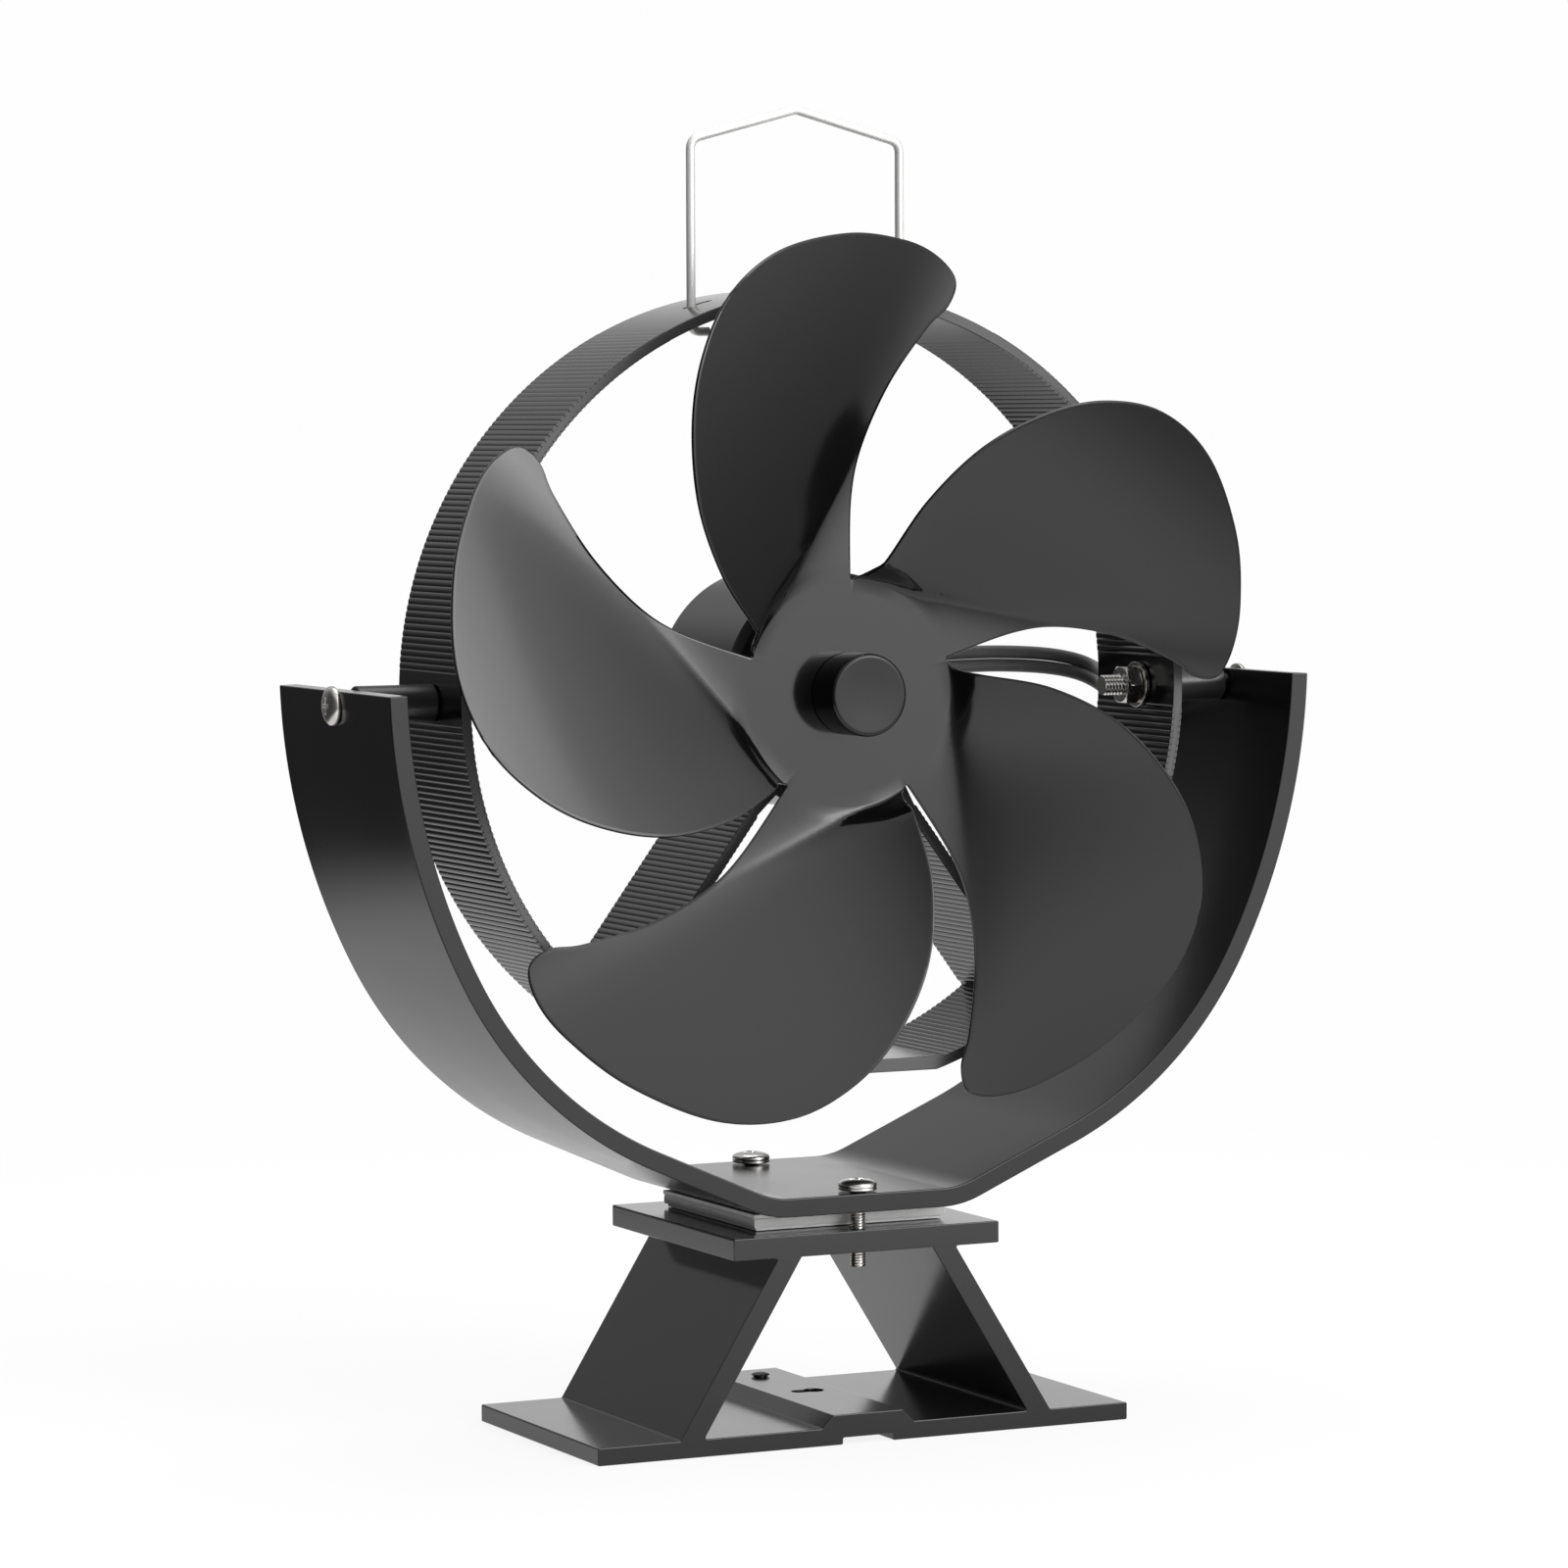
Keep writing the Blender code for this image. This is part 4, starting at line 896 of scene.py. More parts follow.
def buildScrew(node, size, body, axis, place, length):
    # Head at the end of the axis, thread from its underside back along it
    name = nameOf(node)
    radius, height = size["head"], size["headHeight"]
    rise = screwSizes["rimRise"]
    outline = [(0, 0), (radius * screwSizes["seatReach"], 0), (radius, height * screwSizes["seatRise"])]
    for share in shares(screwSizes["headSteps"])[:-1]:
        angle = pi / 2 * share
        outline.append((radius * cos(angle) ** screwSizes["domeFullness"], height * (rise + (1 - rise) * sin(angle))))
    head = solidFrom(name + "Head", turned(outline + [(0, height)], "+Z", (0, 0, 0), 56))
    reach = radius * screwSizes["recessReach"]
    half = radius * screwSizes["recessWidth"] / 2
    cross = []
    quarter = [(half, half), (half, reach), (-half, reach)]
    for turn in range(4):
        cross += quarter
        quarter = [(-y, x) for x, y in quarter]
    depth = height * screwSizes["recessDepth"]
    recess = pulledUp(cross[::-1], height - depth, height + depth, screwSizes["recessTaper"])
    eased(cutWith(head, [solidFrom("crossRecess", recess)]), screwSizes["headEdge"], 2, 45)
    shank = linked(name + "Shank", bpy.data.meshes.new(name))
    rows = round(length / size["pitch"] * screwSizes["rowsPerTurn"])
    thread.work(shank, Radius=size["radius"], Pitch=size["pitch"], Depth=size["depth"], Length=length, Rows=rows)
    shank.data.transform(Matrix.Translation((0, 0, -length / 2 + screwSizes["threadSink"])))
    shank.data.shade_smooth()
    screw = joined(name, [head, shank])
    reshaped(screw, lambda bm: aimed(bm, axis, place))
    screw.data.set_sharp_from_angle(angle=radians(38))
    handedOver(painted(screw, "screw"), body, node)


def buildWasher(node, body, axis, hole, edge, finish="screw"):
    low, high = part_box(node)
    along = 0 if axis == "+X" else 2
    half = (high[along] - low[along]) / 2
    radius = (high.y - low.y) / 2
    outline = [(hole, -half), (radius, -half), (radius, half), (hole, half)]
    washer = eased(solidFrom(nameOf(node), turned(outline, axis, middleOf(node), 72, True)), edge)
    handedOver(painted(washer, finish), body, node)


def buildNut(node):
    # A hexagon turned down at both ends to take its corners off
    low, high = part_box(node)
    half = (high.x - low.x) / 2
    flat = screwSizes["nutFlats"] / 2
    corner = flat / cos(pi / 6)
    nut = solidFrom(nameOf(node), pulledUp([(-y, x) for x, y in hexagon(corner)], -half, half))
    face = flat * screwSizes["nutFace"]
    wide = corner * screwSizes["nutBlank"]
    rim = half - (corner - flat)
    blank = [(0, -half), (face, -half), (wide, -rim), (wide, rim), (face, half), (0, half)]
    cutWith(nut, [solidFrom("nutBlank", turned(blank, "+Z", (0, 0, 0), 48))], "INTERSECT")
    cutWith(nut, [bore(screwSizes["nutBore"], -half - overrun, half + overrun, (0, 0, 0), steps=36)])
    eased(nut, screwSizes["nutEdge"], 1, 30)
    nut.data.transform(Matrix.Translation(middleOf(node)) @ Matrix.Rotation(pi / 2, 4, "Y"))
    nut.data.set_sharp_from_angle(angle=radians(20))
    handedOver(painted(nut, "screw"), "ring", node)


def buildFasteners(sizes):
    for side in ("front", "rear"):
        node = "clamp_screw_" + side
        washer = "clamp_washer_" + side
        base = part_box(washer)[1].z
        place = (0, middleOf(node).y, base)
        buildScrew(node, sizes["clamp"], "stand", "+Z", place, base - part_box(node)[0].z)
        buildWasher(washer, "stand", "+Z", clampHole, sizes["washerEdge"])
    for side, sign, axis in (("left", -1, "-X"), ("right", 1, "+X")):
        node = "pivot_screw_" + side
        end = min(abs(corner.x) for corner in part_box(node)) - sizes["threadPast"]
        place = (sign * armFace, middleDepth, pivotHeight)
        buildScrew(node, sizes["pivot"], "ring", axis, place, armFace - end)
        buildWasher("pivot_washer_" + side, "ring", "+X", pivotHole, sizes["washerEdge"])
        buildWasher("pivot_spacer_" + side, "ring", "+X", pivotHole, sizes["spacerEdge"], "spacer")
        buildNut("pivot_nut_" + side)


buildFasteners(screwSizes)
print("fasteners made")


# Ring heat sink: the bare extrusion, then its ribs

ringSizes = {
    "radius": 75 * mm,
    "wall": 2 * mm,
    "flatDrop": 71.775 * mm,
    "flatWall": 2.8 * mm,
    "bossRadius": 22.3 * mm,
    "boreRadius": 20.2 * mm,
    "strutThickness": 2.2 * mm,
    "strutAngle": radians(36.5),
    "strutRoot": 6 * mm,
    "strutClear": 1.5 * mm,
    "strutFlare": 0.7 * mm,
    "strutSteps": 40,
    "arcStep": radians(0.6),
    "ribPitch": 1.2 * mm,
    "ribWidth": 1.45 * mm,
    "ribHeight": 0.32 * mm,
    "ribShort": 0.06 * mm,
    "leastShare": 0.05,
    "crownSmooth": radians(26),
    "crownFade": radians(22),
    "pivotFlat": 10 * mm,
    "edge": 0.2 * mm,
    "pivotReach": 4 * mm,
    "slotLength": 5.6 * mm,
    "slotWidth": 2 * mm,
    "slotMiddle": 20.5 * mm,
    "slotBottom": 60 * mm,
    "slotTop": 80 * mm,
    "grubHole": 1.65 * mm,
    "grubBottom": -24 * mm,
    "grubTop": -19 * mm,
}


def ribShareAt(x, z):
    # 1 where the wall is ribbed, 0 at the pivots, by the flat and over the crown
    if abs(z) < ringSizes["pivotFlat"] / 2 or z < -(ringSizes["flatDrop"] - ringSizes["flatWall"]):
        return 0
    return min(1, max(0, (abs(atan2(x, z)) - ringSizes["crownSmooth"]) / ringSizes["crownFade"]))


class Wall:
    # Collects a section line sunk to the foot of the ribs, and the runs along which ribs stand
    def __init__(self):
        self.runs = []
        self.shares = []

    def sunk(self, points, normals, shareAt):
        line = []
        run = []
        for (x, z), (nx, nz) in zip(points, normals):
            share = shareAt(x, z)
            sink = ringSizes["ribHeight"] * share
            line.append((x - nx * sink, z - nz * sink))
            ribbed = share > ringSizes["leastShare"]
            if ribbed:
                run.append((line[-1], share))
            if run and (not ribbed or (x, z) == points[-1]):
                if len(run) > 2:
                    self.runs.append([(px, ringMiddle, pz + hub.z) for (px, pz), _ in run])
                    self.shares += [value for _, value in run]
                run = []
        return line

    def arc(self, radius, start, end, outward):
        points = arcPoints(radius, start, end, max(4, round(abs(end - start) / ringSizes["arcStep"])))
        normals = [(outward * x / radius, outward * z / radius) for x, z in points]
        return self.sunk(points, normals, ribShareAt)

    def strut(self, side, face, start, end):
        angle = ringSizes["strutAngle"]
        along = Vector((side * sin(angle), -cos(angle)))
        across = Vector((side * cos(angle), sin(angle))) * face
        half = ringSizes["strutThickness"] / 2
        steps = shares(ringSizes["strutSteps"])
        points = [tuple(along * (start + (end - start) * share) + across * half) for share in steps]
        return self.sunk(points, [across] * len(points), lambda x, z: 1)


def buildRing(sizes):
    wall = Wall()
    radius, boss = sizes["radius"], sizes["bossRadius"]
    half = sizes["strutThickness"] / 2
    bottom = -pi / 2
    inner = radius - sizes["wall"]
    flatOuter = acos(sizes["flatDrop"] / radius)
    flatInner = acos((sizes["flatDrop"] - sizes["flatWall"]) / inner)
    strutStart = sqrt(boss ** 2 - half ** 2) + sizes["strutRoot"]
    strutEnd = sqrt(inner ** 2 - half ** 2) - sizes["strutClear"]
    atBoss = asin((half + sizes["strutFlare"]) / boss)
    atWall = asin(half / inner)
    right = bottom + sizes["strutAngle"]
    left = bottom - sizes["strutAngle"]
    roundLeft = left + tau

    outside = wall.arc(radius, bottom + flatOuter, bottom - flatOuter + tau, 1)
    upper = wall.arc(inner, right + atWall, roundLeft - atWall, -1)
    upper += wall.strut(-1, 1, strutEnd, strutStart)
    upper += arcPoints(boss, roundLeft - atBoss, right + atBoss, 120)
    upper += wall.strut(1, 1, strutStart, strutEnd)
    lower = wall.arc(inner, left + atWall, bottom - flatInner, -1)
    lower += wall.arc(inner, bottom + flatInner, right - atWall, -1)
    lower += wall.strut(1, -1, strutEnd, strutStart)
    lower += arcPoints(boss, right - atBoss, left + atBoss, 30)
    lower += wall.strut(-1, -1, strutStart, strutEnd)
    motorBore = arcPoints(sizes["boreRadius"], 0, tau, 120)[:-1]
    loops = [[(x, z + hub.z) for x, z in loop] for loop in (outside, upper, lower, motorBore)]
    body = solidFrom("ringBody", extruded(loops, ringFront, ringBack))

    cutters = []
    for side in (-1, 1):
        place = (side * radius, middleDepth, pivotHeight)
        cutters.append(bore(pivotHole, -sizes["pivotReach"], sizes["pivotReach"], place, "+X"))
        slot = pulledUp(stadium(sizes["slotLength"], sizes["slotWidth"]), sizes["slotBottom"], sizes["slotTop"])
        cutters.append(solidFrom("handleSlot", shifted(slot, side * sizes["slotMiddle"], ringMiddle, hub.z)))
    cutters.append(bore(sizes["grubHole"], sizes["grubBottom"], sizes["grubTop"], (0, ringMiddle, hub.z)))
    eased(cutWith(body, cutters), sizes["edge"], 2, 55)

    lines = lineFrom("ringRibs", wall.runs, wall.shares)
    length = ringBack - ringFront - sizes["ribShort"]
    ribs.work(lines, Pitch=sizes["ribPitch"], Width=sizes["ribWidth"], Height=sizes["ribHeight"], Length=length)
    smoothed(lines, 50)
    print("ribs on the ring,", sum(len(run) for run in wall.runs), "line points,", len(lines.data.polygons), "faces")
    ring = painted(joined("ringHeatSink", [body, lines]), "sink", "sinkCut")
    for face in ring.data.polygons:
        if abs(face.normal.y) > 0.9:
            face.material_index = 1
    handedOver(ring, "ring", "ring_frame")


buildRing(ringSizes)
print("ring made")


# Motor in the boss, its cap, tabs and grub screw

motorSizes = {
    "radius": 19.9 * mm,
    "edge": 1.1 * mm,
    "collarRadius": 3.6 * mm,
    "collarEdge": 0.3 * mm,
    "bore": 1.15 * mm,
    "boreDepth": 7 * mm,
    "screwCircle": 8 * mm,
    "screwHole": 1.4 * mm,
    "screwDepth": 1.6 * mm,
    "capEdge": 0.7 * mm,
    "capBoss": 4.4 * mm,
    "capBossSlope": 0.4 * mm,
    "capBossRecess": 0.7 * mm,
    "capBreak": 0.1 * mm,
    "ventCircle": 10.4 * mm,
    "ventLength": 6 * mm,
    "ventWidth": 1.6 * mm,
    "ventDepth": 1.2 * mm,
    "tabEdge": 0.08 * mm,
    "tabHole": 0.45 * mm,
    "tabHoleBack": 0.6 * mm,
    "socket": 0.72 * mm,
    "socketDepth": 1.1 * mm,
    "grubEdge": 0.08 * mm,
    "shaftEdge": 0.1 * mm,
}


def buildMotor(sizes):
    front, back = motorFront, motorBack
    edge, collar, hole = sizes["edge"], sizes["collarRadius"], sizes["bore"]
    flat = sizes["radius"] - edge
    corner = arcPoints(edge, 0, pi / 2, 6)
    outline = [
        (0, front + sizes["boreDepth"]), (hole, front + sizes["boreDepth"]), (hole, collarFront),
        (collar - sizes["collarEdge"], collarFront), (collar, collarFront + sizes["collarEdge"]), (collar, front),
    ]
    outline += [(flat + x, front + edge - z) for x, z in reversed(corner)]
    outline += [(flat + x, back - edge + z) for x, z in corner] + [(0, back)]
    can = solidFrom("motorCan", turnedInDepth(outline, 96))
    start = front - middleDepth
    cutWith(can, [
        bore(sizes["screwHole"], start - overrun, start + sizes["screwDepth"],
             (side * sizes["screwCircle"], hub.y, hub.z), "+Y", 28)
        for side in (-1, 1)
    ])
    painted(smoothed(can, 35), "motor", "brass")
    for face in can.data.polygons:
        spot = face.center
        if spot.y < front - 0.05 * mm and hypot(spot.x, spot.z - hub.z) < collar + 0.1 * mm:
            face.material_index = 1
    handedOver(can, "ring", "motor_can")


def buildMotorCap(sizes):
    low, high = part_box("motor_rear_cap")
    radius = (high.x - low.x) / 2
    edge, boss = sizes["capEdge"], sizes["capBoss"]
    recess = high.y - sizes["capBossRecess"]
    outline = [(0, low.y), (radius, low.y)]
    outline += [(radius - edge + x, high.y - edge + z) for x, z in arcPoints(edge, 0, pi / 2, 5)]
    outline += [(boss + sizes["capBossSlope"], high.y), (boss, recess), (0, recess)]
    cap = solidFrom("motorRearCap", turnedInDepth(outline, 80))
    vents = []
    for turn in range(4):
        section = stadium(sizes["ventLength"], sizes["ventWidth"])
        vent = extruded([section], high.y - sizes["ventDepth"], high.y + overrun)
        shifted(vent, 0, 0, sizes["ventCircle"])
        matrix = Matrix.Translation((0, 0, hub.z)) @ Matrix.Rotation(radians(45 + 90 * turn), 4, "Y")
        bmesh.ops.transform(vent, matrix=matrix, verts=vent.verts)
        vents.append(solidFrom("capVent", vent))
    eased(cutWith(cap, vents), sizes["capBreak"], 1, 45)
    handedOver(painted(cap, "cap"), "ring", "motor_rear_cap")

    for side in ("lower", "upper"):
        node = "motor_terminal_" + side
        tab = solidFrom("motorTab" + side.title(), block(*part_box(node)))
        place = middleOf(node) + Vector((0, sizes["tabHoleBack"], 0))
        cutWith(tab, [bore(sizes["tabHole"], -overrun, overrun, place, "+X", 20)])
        handedOver(painted(eased(tab, sizes["tabEdge"], 1, 45), "tin"), "ring", node)


def buildGrubAndShaft(sizes):
    low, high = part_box("motor_grub_screw")
    middle = middleOf("motor_grub_screw")
    half = (high.z - low.z) / 2
    grub = solidFrom("motorGrubScrew", turned(drum((high.x - low.x) / 2, -half, half), "+Z", middle, 32))
    socket = pulledUp(hexagon(sizes["socket"]), -half - overrun, -half + sizes["socketDepth"])
    cutWith(grub, [solidFrom("hexSocket", shifted(socket, *middle))])
    eased(grub, sizes["grubEdge"], 1, 45)
    handedOver(painted(grub, "screw"), "ring", "motor_grub_screw")

    low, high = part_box("motor_shaft")
    shaft = solidFrom("motorShaft", turnedInDepth(drum((high.x - low.x) / 2, low.y, high.y), 32))
    eased(shaft, sizes["shaftEdge"], 2, 45)
    handedOver(painted(shaft, "shaft"), "rotor", "motor_shaft")


buildMotor(motorSizes)
buildMotorCap(motorSizes)
buildGrubAndShaft(motorSizes)
print("motor made")


# Propeller: one pressed sheet, its blades copied round the hub

bladeSizes = {
    "count": 5,
    "tip": 84.8 * mm,
    "thickness": 0.76 * mm,
    "rim": 0.25 * mm,
    "seam": 0.02 * mm,
    "behindNose": 0.3 * mm,
    "hubHole": 1.6 * mm,
    "notch": 21 * mm,
    "armFall": 2.7 * mm,
    "armCurve": 1.5,
    "pitch": 0.48,
    "pitchLoss": 0.18,
    "crease": 1 * mm,
    "creaseSpread": 30 * mm,
    "creaseEnd": (0.672, -6.2),
    "rootStep": 5.8 * mm,
    "rootWidth": 1.4 * mm,
    "rootReach": 11 * mm,
    "camber": 0.7 * mm,
    "camberWidth": 42 * mm,
    "phase": 87.7,
    "leading": ((0.275, 64.5), (0.435, 57), (0.595, 49), (0.74, 40.3), (0.85, 32.6), (0.935, 24.5)),
    "outer": ((0.984, 15.2), (1, 4), (0.997, -5.2), (0.982, -11), (0.945, -14.8)),
    "trailing": ((0.265, 1.2), (0.43, 1.1), (0.545, -1.5), (0.685, -6.6), (0.82, -12), (0.885, -14.8)),
    "rowsAlong": 92,
    "rowsAcross": 60,
    "rowsInHub": 8,
}
span = 360 / bladeSizes["count"]
knotSteps = 24


def polar(radius, degrees):
    return Vector((radius * cos(radians(degrees)), radius * sin(radians(degrees))))


def smoothThrough(points):
    # A smooth line through all points, with the same number of steps from each point to the next
    padded = [2 * points[0] - points[1], *points, 2 * points[-1] - points[-2]]
    trail = []
    for before, start, end, after in zip(padded, padded[1:], padded[2:], padded[3:]):
        for share in shares(knotSteps)[:-1]:
            point = start * 2 + (end - before) * share
            point += (before * 2 - start * 5 + end * 4 - after) * share ** 2
            point += (start * 3 - before - end * 3 + after) * share ** 3
            trail.append(point / 2)
    return trail + [points[-1]]


def reaches(trail):
    total = [0.0]
    for start, end in zip(trail, trail[1:]):
        total.append(total[-1] + (end - start).length)
    return total


def divided(trail, steps):
    reach = reaches(trail)
    result = []
    index = 0
    for share in shares(steps):
        target = reach[-1] * share
        while index < len(trail) - 2 and reach[index + 1] < target:
            index += 1
        part = (target - reach[index]) / (reach[index + 1] - reach[index])
        result.append(trail[index].lerp(trail[index + 1], min(1, part)))
    return result


def bladeGrid(sizes):
    # The outline is one smooth line from notch to notch, parted at the blade's two outer corners
    knots = [polar(share * sizes["tip"], angle)
             for share, angle in sizes["leading"] + sizes["outer"] + sizes["trailing"][::-1]]
    outline = smoothThrough([polar(sizes["notch"], span), *knots, polar(sizes["notch"], 0)])
    first = len(sizes["leading"]) * knotSteps
    second = first + len(sizes["outer"]) * knotSteps
    leading = divided(outline[:first + 1], sizes["rowsAlong"])
    trailing = divided(outline[second:][::-1], sizes["rowsAlong"])
    outer = divided(outline[first:second + 1], sizes["rowsAcross"])[::-1]
    acrossShares = shares(sizes["rowsAcross"])
    root = [polar(sizes["notch"], span * u) for u in acrossShares]
    grid = []
    for v, low, high in zip(shares(sizes["rowsAlong"]), trailing, leading):
        line = []
        for u, near, far in zip(acrossShares, root, outer):
            corners = root[0].lerp(root[-1], u).lerp(outer[0].lerp(outer[-1], u), v)
            line.append(low.lerp(high, u) + near.lerp(far, v) - corners)
        grid.append(line)
    return grid


def sheetFront(sizes, point):
    # How far the sheet's front stands behind the hub: arms fall back a little, blades rise to the front
    notch, tip = sizes["notch"], sizes["tip"]
    out = point.length - notch
    if out <= 0:
        return 0
    arm = sizes["armFall"] * (out / (tip - notch)) ** sizes["armCurve"]
    start = polar(notch, span)
    line = (polar(sizes["creaseEnd"][0] * tip, sizes["creaseEnd"][1]) - start).normalized()
    across = (point - start).dot(Vector((-line.y, line.x)))
    along = max(0, (point - start).dot(line))
    crease = sizes["crease"] * (1 + along / sizes["creaseSpread"])
    soft = crease * log1p(exp(min(60, across / crease)))
    rise = soft * (sizes["pitch"] - sizes["pitchLoss"] * along / tip)
    share = min(1, soft / sizes["camberWidth"])
    rise += 4 * sizes["camber"] * share * (1 - share)
    if across > 0:
        rise += sizes["rootStep"] * (1 - exp(-across / sizes["rootWidth"])) * exp(-along / sizes["rootReach"])
    return arm - rise * min(1, out / (sizes["rootWidth"] * 2))


def facedForward(bm):
    bmesh.ops.recalc_face_normals(bm, faces=bm.faces)
    if sum(face.normal.y * face.calc_area() for face in bm.faces) > 0:
        bmesh.ops.reverse_faces(bm, faces=bm.faces)


def buildPropeller(sizes):
    rows = []
    for share in shares(sizes["rowsInHub"])[:-1]:
        radius = sizes["hubHole"] + (sizes["notch"] - sizes["hubHole"]) * share
        rows.append([polar(radius, span * turn) for turn in shares(sizes["rowsAcross"])])
    turn = Matrix.Rotation(radians(sizes["phase"]), 2)
    bm = bmesh.new()
    corners = []
    for row in rows + bladeGrid(sizes):
        spots = [(turn @ point, sheetFront(sizes, point)) for point in row]
        corners.append([bm.verts.new((spot.x, depth, spot.y)) for spot, depth in spots])
    for low, high in zip(corners, corners[1:]):
        for index in range(sizes["rowsAcross"]):
            bm.faces.new((low[index], high[index], high[index + 1], low[index + 1]))
    sheet = pieceFrom("propeller", bm)
    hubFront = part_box("nose_cap")[1].y + sizes["behindNose"]
    sectors.work(sheet, Blades=sizes["count"], Seam=sizes["seam"], Hub=(0, hubFront, hub.z))
    reshaped(sheet, facedForward)
    modified(sheet, "SOLIDIFY", thickness=sizes["thickness"], offset=-1)
    eased(sheet, sizes["rim"], 2, 50, 40)
    print("propeller made,", len(sheet.data.polygons), "faces")
    handedOver(painted(sheet, "blade"), "rotor", "propeller")


buildPropeller(bladeSizes)


# Nose cap on the shaft

noseSizes = {
    "edge": 0.7 * mm,
    "rearEdge": 0.06 * mm,
    "dimple": 0.15 * mm,
    "dimpleShare": 0.55,
    "rimWidth": 0.3 * mm,
    "bore": 1.15 * mm,
    "wall": 2 * mm,
}


def buildNose(sizes):
    low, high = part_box("nose_cap")
    radius = (high.x - low.x) / 2
    edge, rear, bottom = sizes["edge"], sizes["rearEdge"], low.y + sizes["dimple"]
    outline = [(0, bottom), (radius * sizes["dimpleShare"], bottom), (radius - edge - sizes["rimWidth"], low.y)]
    outline += [(radius - edge + x, low.y + edge - z) for x, z in reversed(arcPoints(edge, 0, pi / 2, 6))]
    outline += [(radius, high.y - rear), (radius - rear, high.y), (sizes["bore"], high.y)]
    outline += [(sizes["bore"], low.y + sizes["wall"]), (0, low.y + sizes["wall"])]
    nose = smoothed(solidFrom("noseCap", turnedInDepth(outline, 96)), 30)
    handedOver(painted(nose, "knob"), "rotor", "nose_cap")


buildNose(noseSizes)


# Handle: bright wire with hooked feet through the ring's slots

handleSizes = {
    "radius": 0.85 * mm,
    "span": 43.6 * mm,
    "shoulderRise": 31 * mm,
    "peakRise": 5.8 * mm,
    "bend": 2.6 * mm,
    "footDrop": 2.6 * mm,
    "footLength": 3.6 * mm,
    "bendSteps": 14,
    "spacing": 0.35 * mm,
}


def bentLine(corners, bend):
    trail = [Vector(corners[0])]
    for before, here, after in zip(corners, corners[1:], corners[2:]):
        trail += roundedCorner(before, here, after, bend, handleSizes["bendSteps"])
    return trail + [Vector(corners[-1])]


def buildHandle(sizes):
    half = sizes["span"] / 2
    outerWall = hub.z + sqrt(ringSizes["radius"] ** 2 - half ** 2)
    innerWall = hub.z + sqrt((ringSizes["radius"] - ringSizes["wall"]) ** 2 - half ** 2)
    top = outerWall + sizes["shoulderRise"]
    foot = innerWall - sizes["footDrop"]
    right = [(half - sizes["footLength"], ringMiddle, foot), (half, ringMiddle, foot), (half, ringMiddle, top)]
    left = [(-x, y, z) for x, y, z in right]
    corners = left + [(0, ringMiddle, top + sizes["peakRise"])] + right[::-1]
    footBend = min(sizes["bend"], sizes["footLength"] / 2)
    points = bentLine(corners[:3], footBend)[:-1] + bentLine(corners[1:6], sizes["bend"])[1:-1]
    line = lineFrom("handle", [points + bentLine(corners[4:], footBend)[1:]])
    smoothed(tube.work(line, Radius=sizes["radius"], Spacing=sizes["spacing"], Sides=20), 50)
    handedOver(painted(line, "wire"), "ring", "handle")


buildHandle(handleSizes)


# Twin lead from the motor over the right arm's rear edge to the module, the same route as its solids

leadSizes = {
    "radius": 1.28 * mm,
    "pitch": 2.6 * mm,
    "gap": 0.12 * mm,
    "tabSide": 7.9 * mm,
    "tabSpread": 8.4 * mm,
    "fan": 0.3,
    "runDepth": 19 * mm,
    "runStart": 0.23,
    "runEnd": 0.88,
    "runSteps": 8,
    "moduleHalf": 20 * mm,
    "moduleDepth": 9 * mm,
    "behindRing": ((0.28, 2.6, 0.4, 0), (0.39, 2.4, 1, 0), (0.5, 1.3, 1.35, 0),
                   (0.7, 0.85, 1.5, 0), (0.88, 0.7, 1.1, 0), (1, 1, 0, 0.1)),
    "roundArm": ((0.895, -1, -2.4, 0.25), (0.965, 0.6, -5.5, 0.5), (1.015, -0.4, -8.7, 0.8)),
    "atModule": ((3.3, 1.5, 0.55), (1.7, 1.1, 0.05), (0.25, 1, 0)),
    "lineSteps": 260,
    "spacing": 0.7 * mm,
}


def strapRun(share, offset):
    trail = [Vector(point) for point in strapSide(strapSizes, -offset)[::-1]]
    reach = reaches(trail)
    target = share * reach[-1]
    index = max(step for step in range(len(trail) - 1) if reach[step] <= target)
    return trail[index].lerp(trail[index + 1], (target - reach[index]) / (reach[index + 1] - reach[index]))


def leadRoute(sizes):
    clear = sizes["radius"] + sizes["gap"]
    pitch = sizes["pitch"]
    route = [((sizes["tabSide"], middleOf("motor_terminal_upper").y, hub.z), 0)]
    for reach, back, rise, turn in sizes["behindRing"]:
        place = (ringSizes["radius"] * reach, ringBack + clear + pitch * back, hub.z + pitch * rise)
        route.append((place, turn))
    for reach, back, rise, turn in sizes["roundArm"]:
        route.append(((armFace * reach, stockBack + clear + pitch * back, hub.z + pitch * rise), turn))
    for share in shares(sizes["runSteps"]):
        x, z = strapRun(sizes["runStart"] + (sizes["runEnd"] - sizes["runStart"]) * share, clear)
        route.append(((x, middleDepth + sizes["runDepth"], z), 1))
    for out, depth, rise in sizes["atModule"]:
        x = sizes["moduleHalf"] + pitch * out
        route.append(((x, middleDepth + sizes["moduleDepth"] * depth, footTop + clear + pitch * rise), 1))
    return route


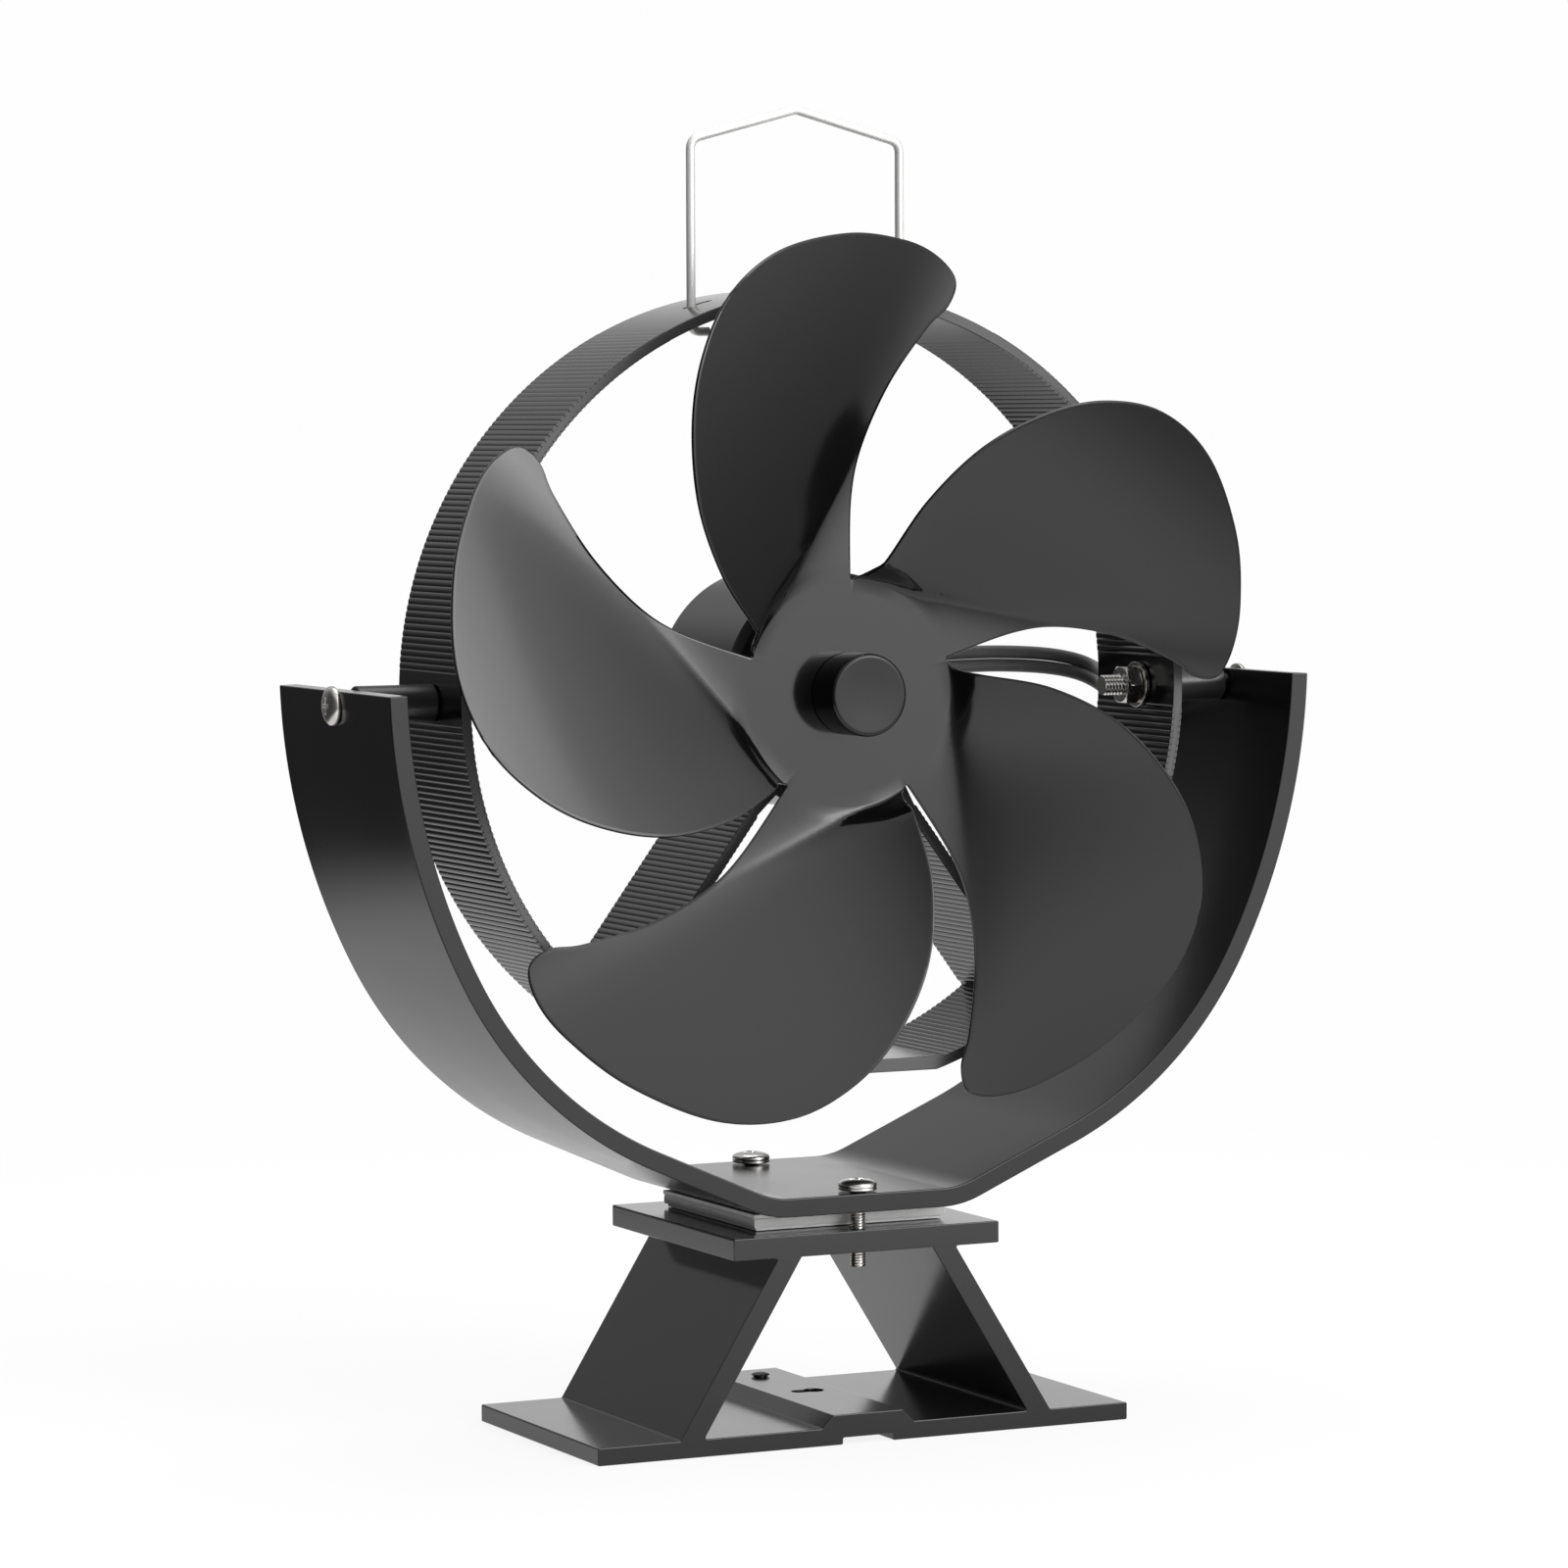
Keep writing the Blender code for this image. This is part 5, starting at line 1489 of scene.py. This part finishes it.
def buildLead(sizes):
    route = leadRoute(sizes)
    places = [Vector(place) for place, _ in route]
    last = len(places) - 1
    sides = []
    for index, (_, turn) in enumerate(route):
        heading = (places[min(index + 1, last)] - places[max(index - 1, 0)]).normalized()
        side = Vector((0, sin(turn * pi / 2), cos(turn * pi / 2)))
        sides.append((side - heading * side.dot(heading)).normalized())
    for name, sign in (("lower", -1), ("upper", 1)):
        knots = [place + side * (sign * sizes["pitch"] / 2) for place, side in zip(places, sides)]
        knots[0].z = hub.z + sign * sizes["tabSpread"] / 2
        knots[1].z += sign * sizes["fan"] * (sizes["tabSpread"] - sizes["pitch"]) / 2
        line = lineFrom("leadWire" + name.title(), [divided(smoothThrough(knots), sizes["lineSteps"])])
        smoothed(tube.work(line, Radius=sizes["radius"], Spacing=sizes["spacing"], Sides=18), 50)
        painted(line, "jacket")
        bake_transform(line)
        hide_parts("lead_wire_" + name)


buildLead(leadSizes)
print("handle and lead made")


# Floor, light and camera

floorSizes = {
    "radius": 0.5,
    "below": 0.02 * mm,
    "fadeFrom": 0.28,
    "fadeTo": 0.48,
    "seen": 0.86,
    "front": 1.35,
    "back": 0.7,
    "brightTo": -0.32,
    "dimFrom": 0,
}


def buildFloor(sizes):
    # Pale near the fan and fading out round it, so that the paint reflects a dark room farther off
    bm = bmesh.new()
    bmesh.ops.create_circle(bm, cap_ends=True, segments=96, radius=sizes["radius"])
    floor = pieceFrom("paleFloor", shifted(bm, 0, 0, -sizes["below"]))
    finish = Finish("paleFloor")
    toBack = finish.ranged(finish.split(finish.place, "Y"), sizes["brightTo"], sizes["dimFrom"])
    reflected = finish.between(toBack, (sizes["front"],) * 3, (sizes["back"],) * 3)
    lens = finish.node("ShaderNodeLightPath", result="Is Camera Ray")
    shader = finish.node("ShaderNodeBsdfPrincipled", {
        "Base Color": finish.between(finish.noise(3), (0.13, 0.13, 0.13), (0.16, 0.16, 0.16)),
        "Roughness": 0.6,
        "Specular IOR Level": 0.0,
        "Emission Color": finish.between(lens, reflected, (sizes["seen"],) * 3),
        "Emission Strength": 1.0,
    })
    reach = finish.vectors("LENGTH", finish.place, result="Value")
    fade = finish.ranged(reach, sizes["fadeFrom"], sizes["fadeTo"], "SMOOTHSTEP")
    clear = finish.node("ShaderNodeBsdfTransparent")
    faded = finish.node("ShaderNodeMixShader", {0: fade, 1: shader, 2: clear})
    finish.node("ShaderNodeOutputMaterial", {"Surface": faded})
    floor.data.materials.append(finish.material)


lightSizes = {
    "frontRight": {"place": (0.55, -1.05, 0.6), "size": 0.6, "power": 1.5},
    "overhead": {"place": (0.1, 0.25, 1.35), "size": 0.8, "power": 4},
    "aim": (0, 0, 0.12),
}


def buildLights(sizes):
    for name in ("frontRight", "overhead"):
        data = bpy.data.lights.new(name, "AREA")
        data.shape = "SQUARE"
        data.size = sizes[name]["size"]
        data.energy = sizes[name]["power"]
        lamp = linked(name, data)
        lamp.location = sizes[name]["place"]
        lamp.visible_camera = False
        lamp.rotation_euler = (Vector(sizes["aim"]) - lamp.location).to_track_quat("-Z", "Y").to_euler()


# Each lobe has its direction, its sharpness and its strength
roomSizes = {
    "dim": 0.02,
    "overhead": 0.6,
    "overheadFrom": 0.3,
    "overheadTo": 0.9,
    "lobes": (
        ((0.44, 0.9, 0.04), 14, 1.05),
        ((0.45, -0.84, 0.3), 55, 4.2),
        ((0.45, -0.83, 0.28), 8, 2.8),
        ((0.15, -0.9, 0.4), 1.5, 0.4),
        ((-0.2, 0.9, 0.45), 22, 0.5),
    ),
    "behind": 0.99,
}


def buildRoom(sizes):
    # A dark room with soft light overhead, behind and in front, seen as plain white past the fan
    world = bpy.data.worlds.new("softRoom")
    world.use_nodes = True
    bpy.context.scene.world = world
    bench = Bench(world.node_tree)
    bench.tree.nodes.clear()
    direction = bench.node("ShaderNodeTexCoord", result="Generated")
    height = bench.split(direction, "Z")
    glow = bench.ranged(height, sizes["overheadFrom"], sizes["overheadTo"], "SMOOTHSTEP")
    glow = sizes["dim"] + sizes["overhead"] * glow
    for toward, sharpness, strength in sizes["lobes"]:
        toward = tuple(Vector(toward).normalized())
        lean = bench.vectors("DOT_PRODUCT", direction, toward, result="Value")
        glow += strength * glow.join("EXPONENT", sharpness * (lean - 1))
    lens = bench.node("ShaderNodeLightPath", result="Is Camera Ray")
    strength = glow * (1 - lens) + sizes["behind"] * lens
    light = bench.node("ShaderNodeBackground", {"Color": (1, 1, 1, 1), "Strength": strength})
    bench.node("ShaderNodeOutputWorld", {"Surface": light})


# The lens in pixels of a 1600-pixel frame, turned into the length on a 36 mm sensor
cameraSizes = {
    "sensor": 36,
    "lens": 5984 / 1600 * 36,
    "yaw": radians(26.026),
    "pitch": radians(3.601),
    "roll": radians(-0.218),
    "place": (-486.95 * mm, -988.2 * mm, 190.4 * mm),
    "nearest": 0.05,
    "farthest": 20,
}


def buildCamera(sizes):
    yaw, pitch, roll = sizes["yaw"], sizes["pitch"], sizes["roll"]
    forward = Vector((sin(yaw) * cos(pitch), cos(yaw) * cos(pitch), -sin(pitch)))
    level = Vector((cos(yaw), -sin(yaw), 0))
    upright = level.cross(forward)
    right = cos(roll) * level + sin(roll) * upright
    up = cos(roll) * upright - sin(roll) * level
    data = bpy.data.cameras.new("photoCamera")
    data.lens = sizes["lens"]
    data.sensor_width = sizes["sensor"]
    data.clip_start = sizes["nearest"]
    data.clip_end = sizes["farthest"]
    camera = linked("photoCamera", data)
    turn = Matrix((right, up, -forward)).transposed().to_4x4()
    camera.matrix_world = Matrix.Translation(sizes["place"]) @ turn
    bpy.context.scene.camera = camera


buildFloor(floorSizes)
buildLights(lightSizes)
buildRoom(roomSizes)
buildCamera(cameraSizes)
bpy.context.scene.view_settings.view_transform = "Standard"
print("stage made")
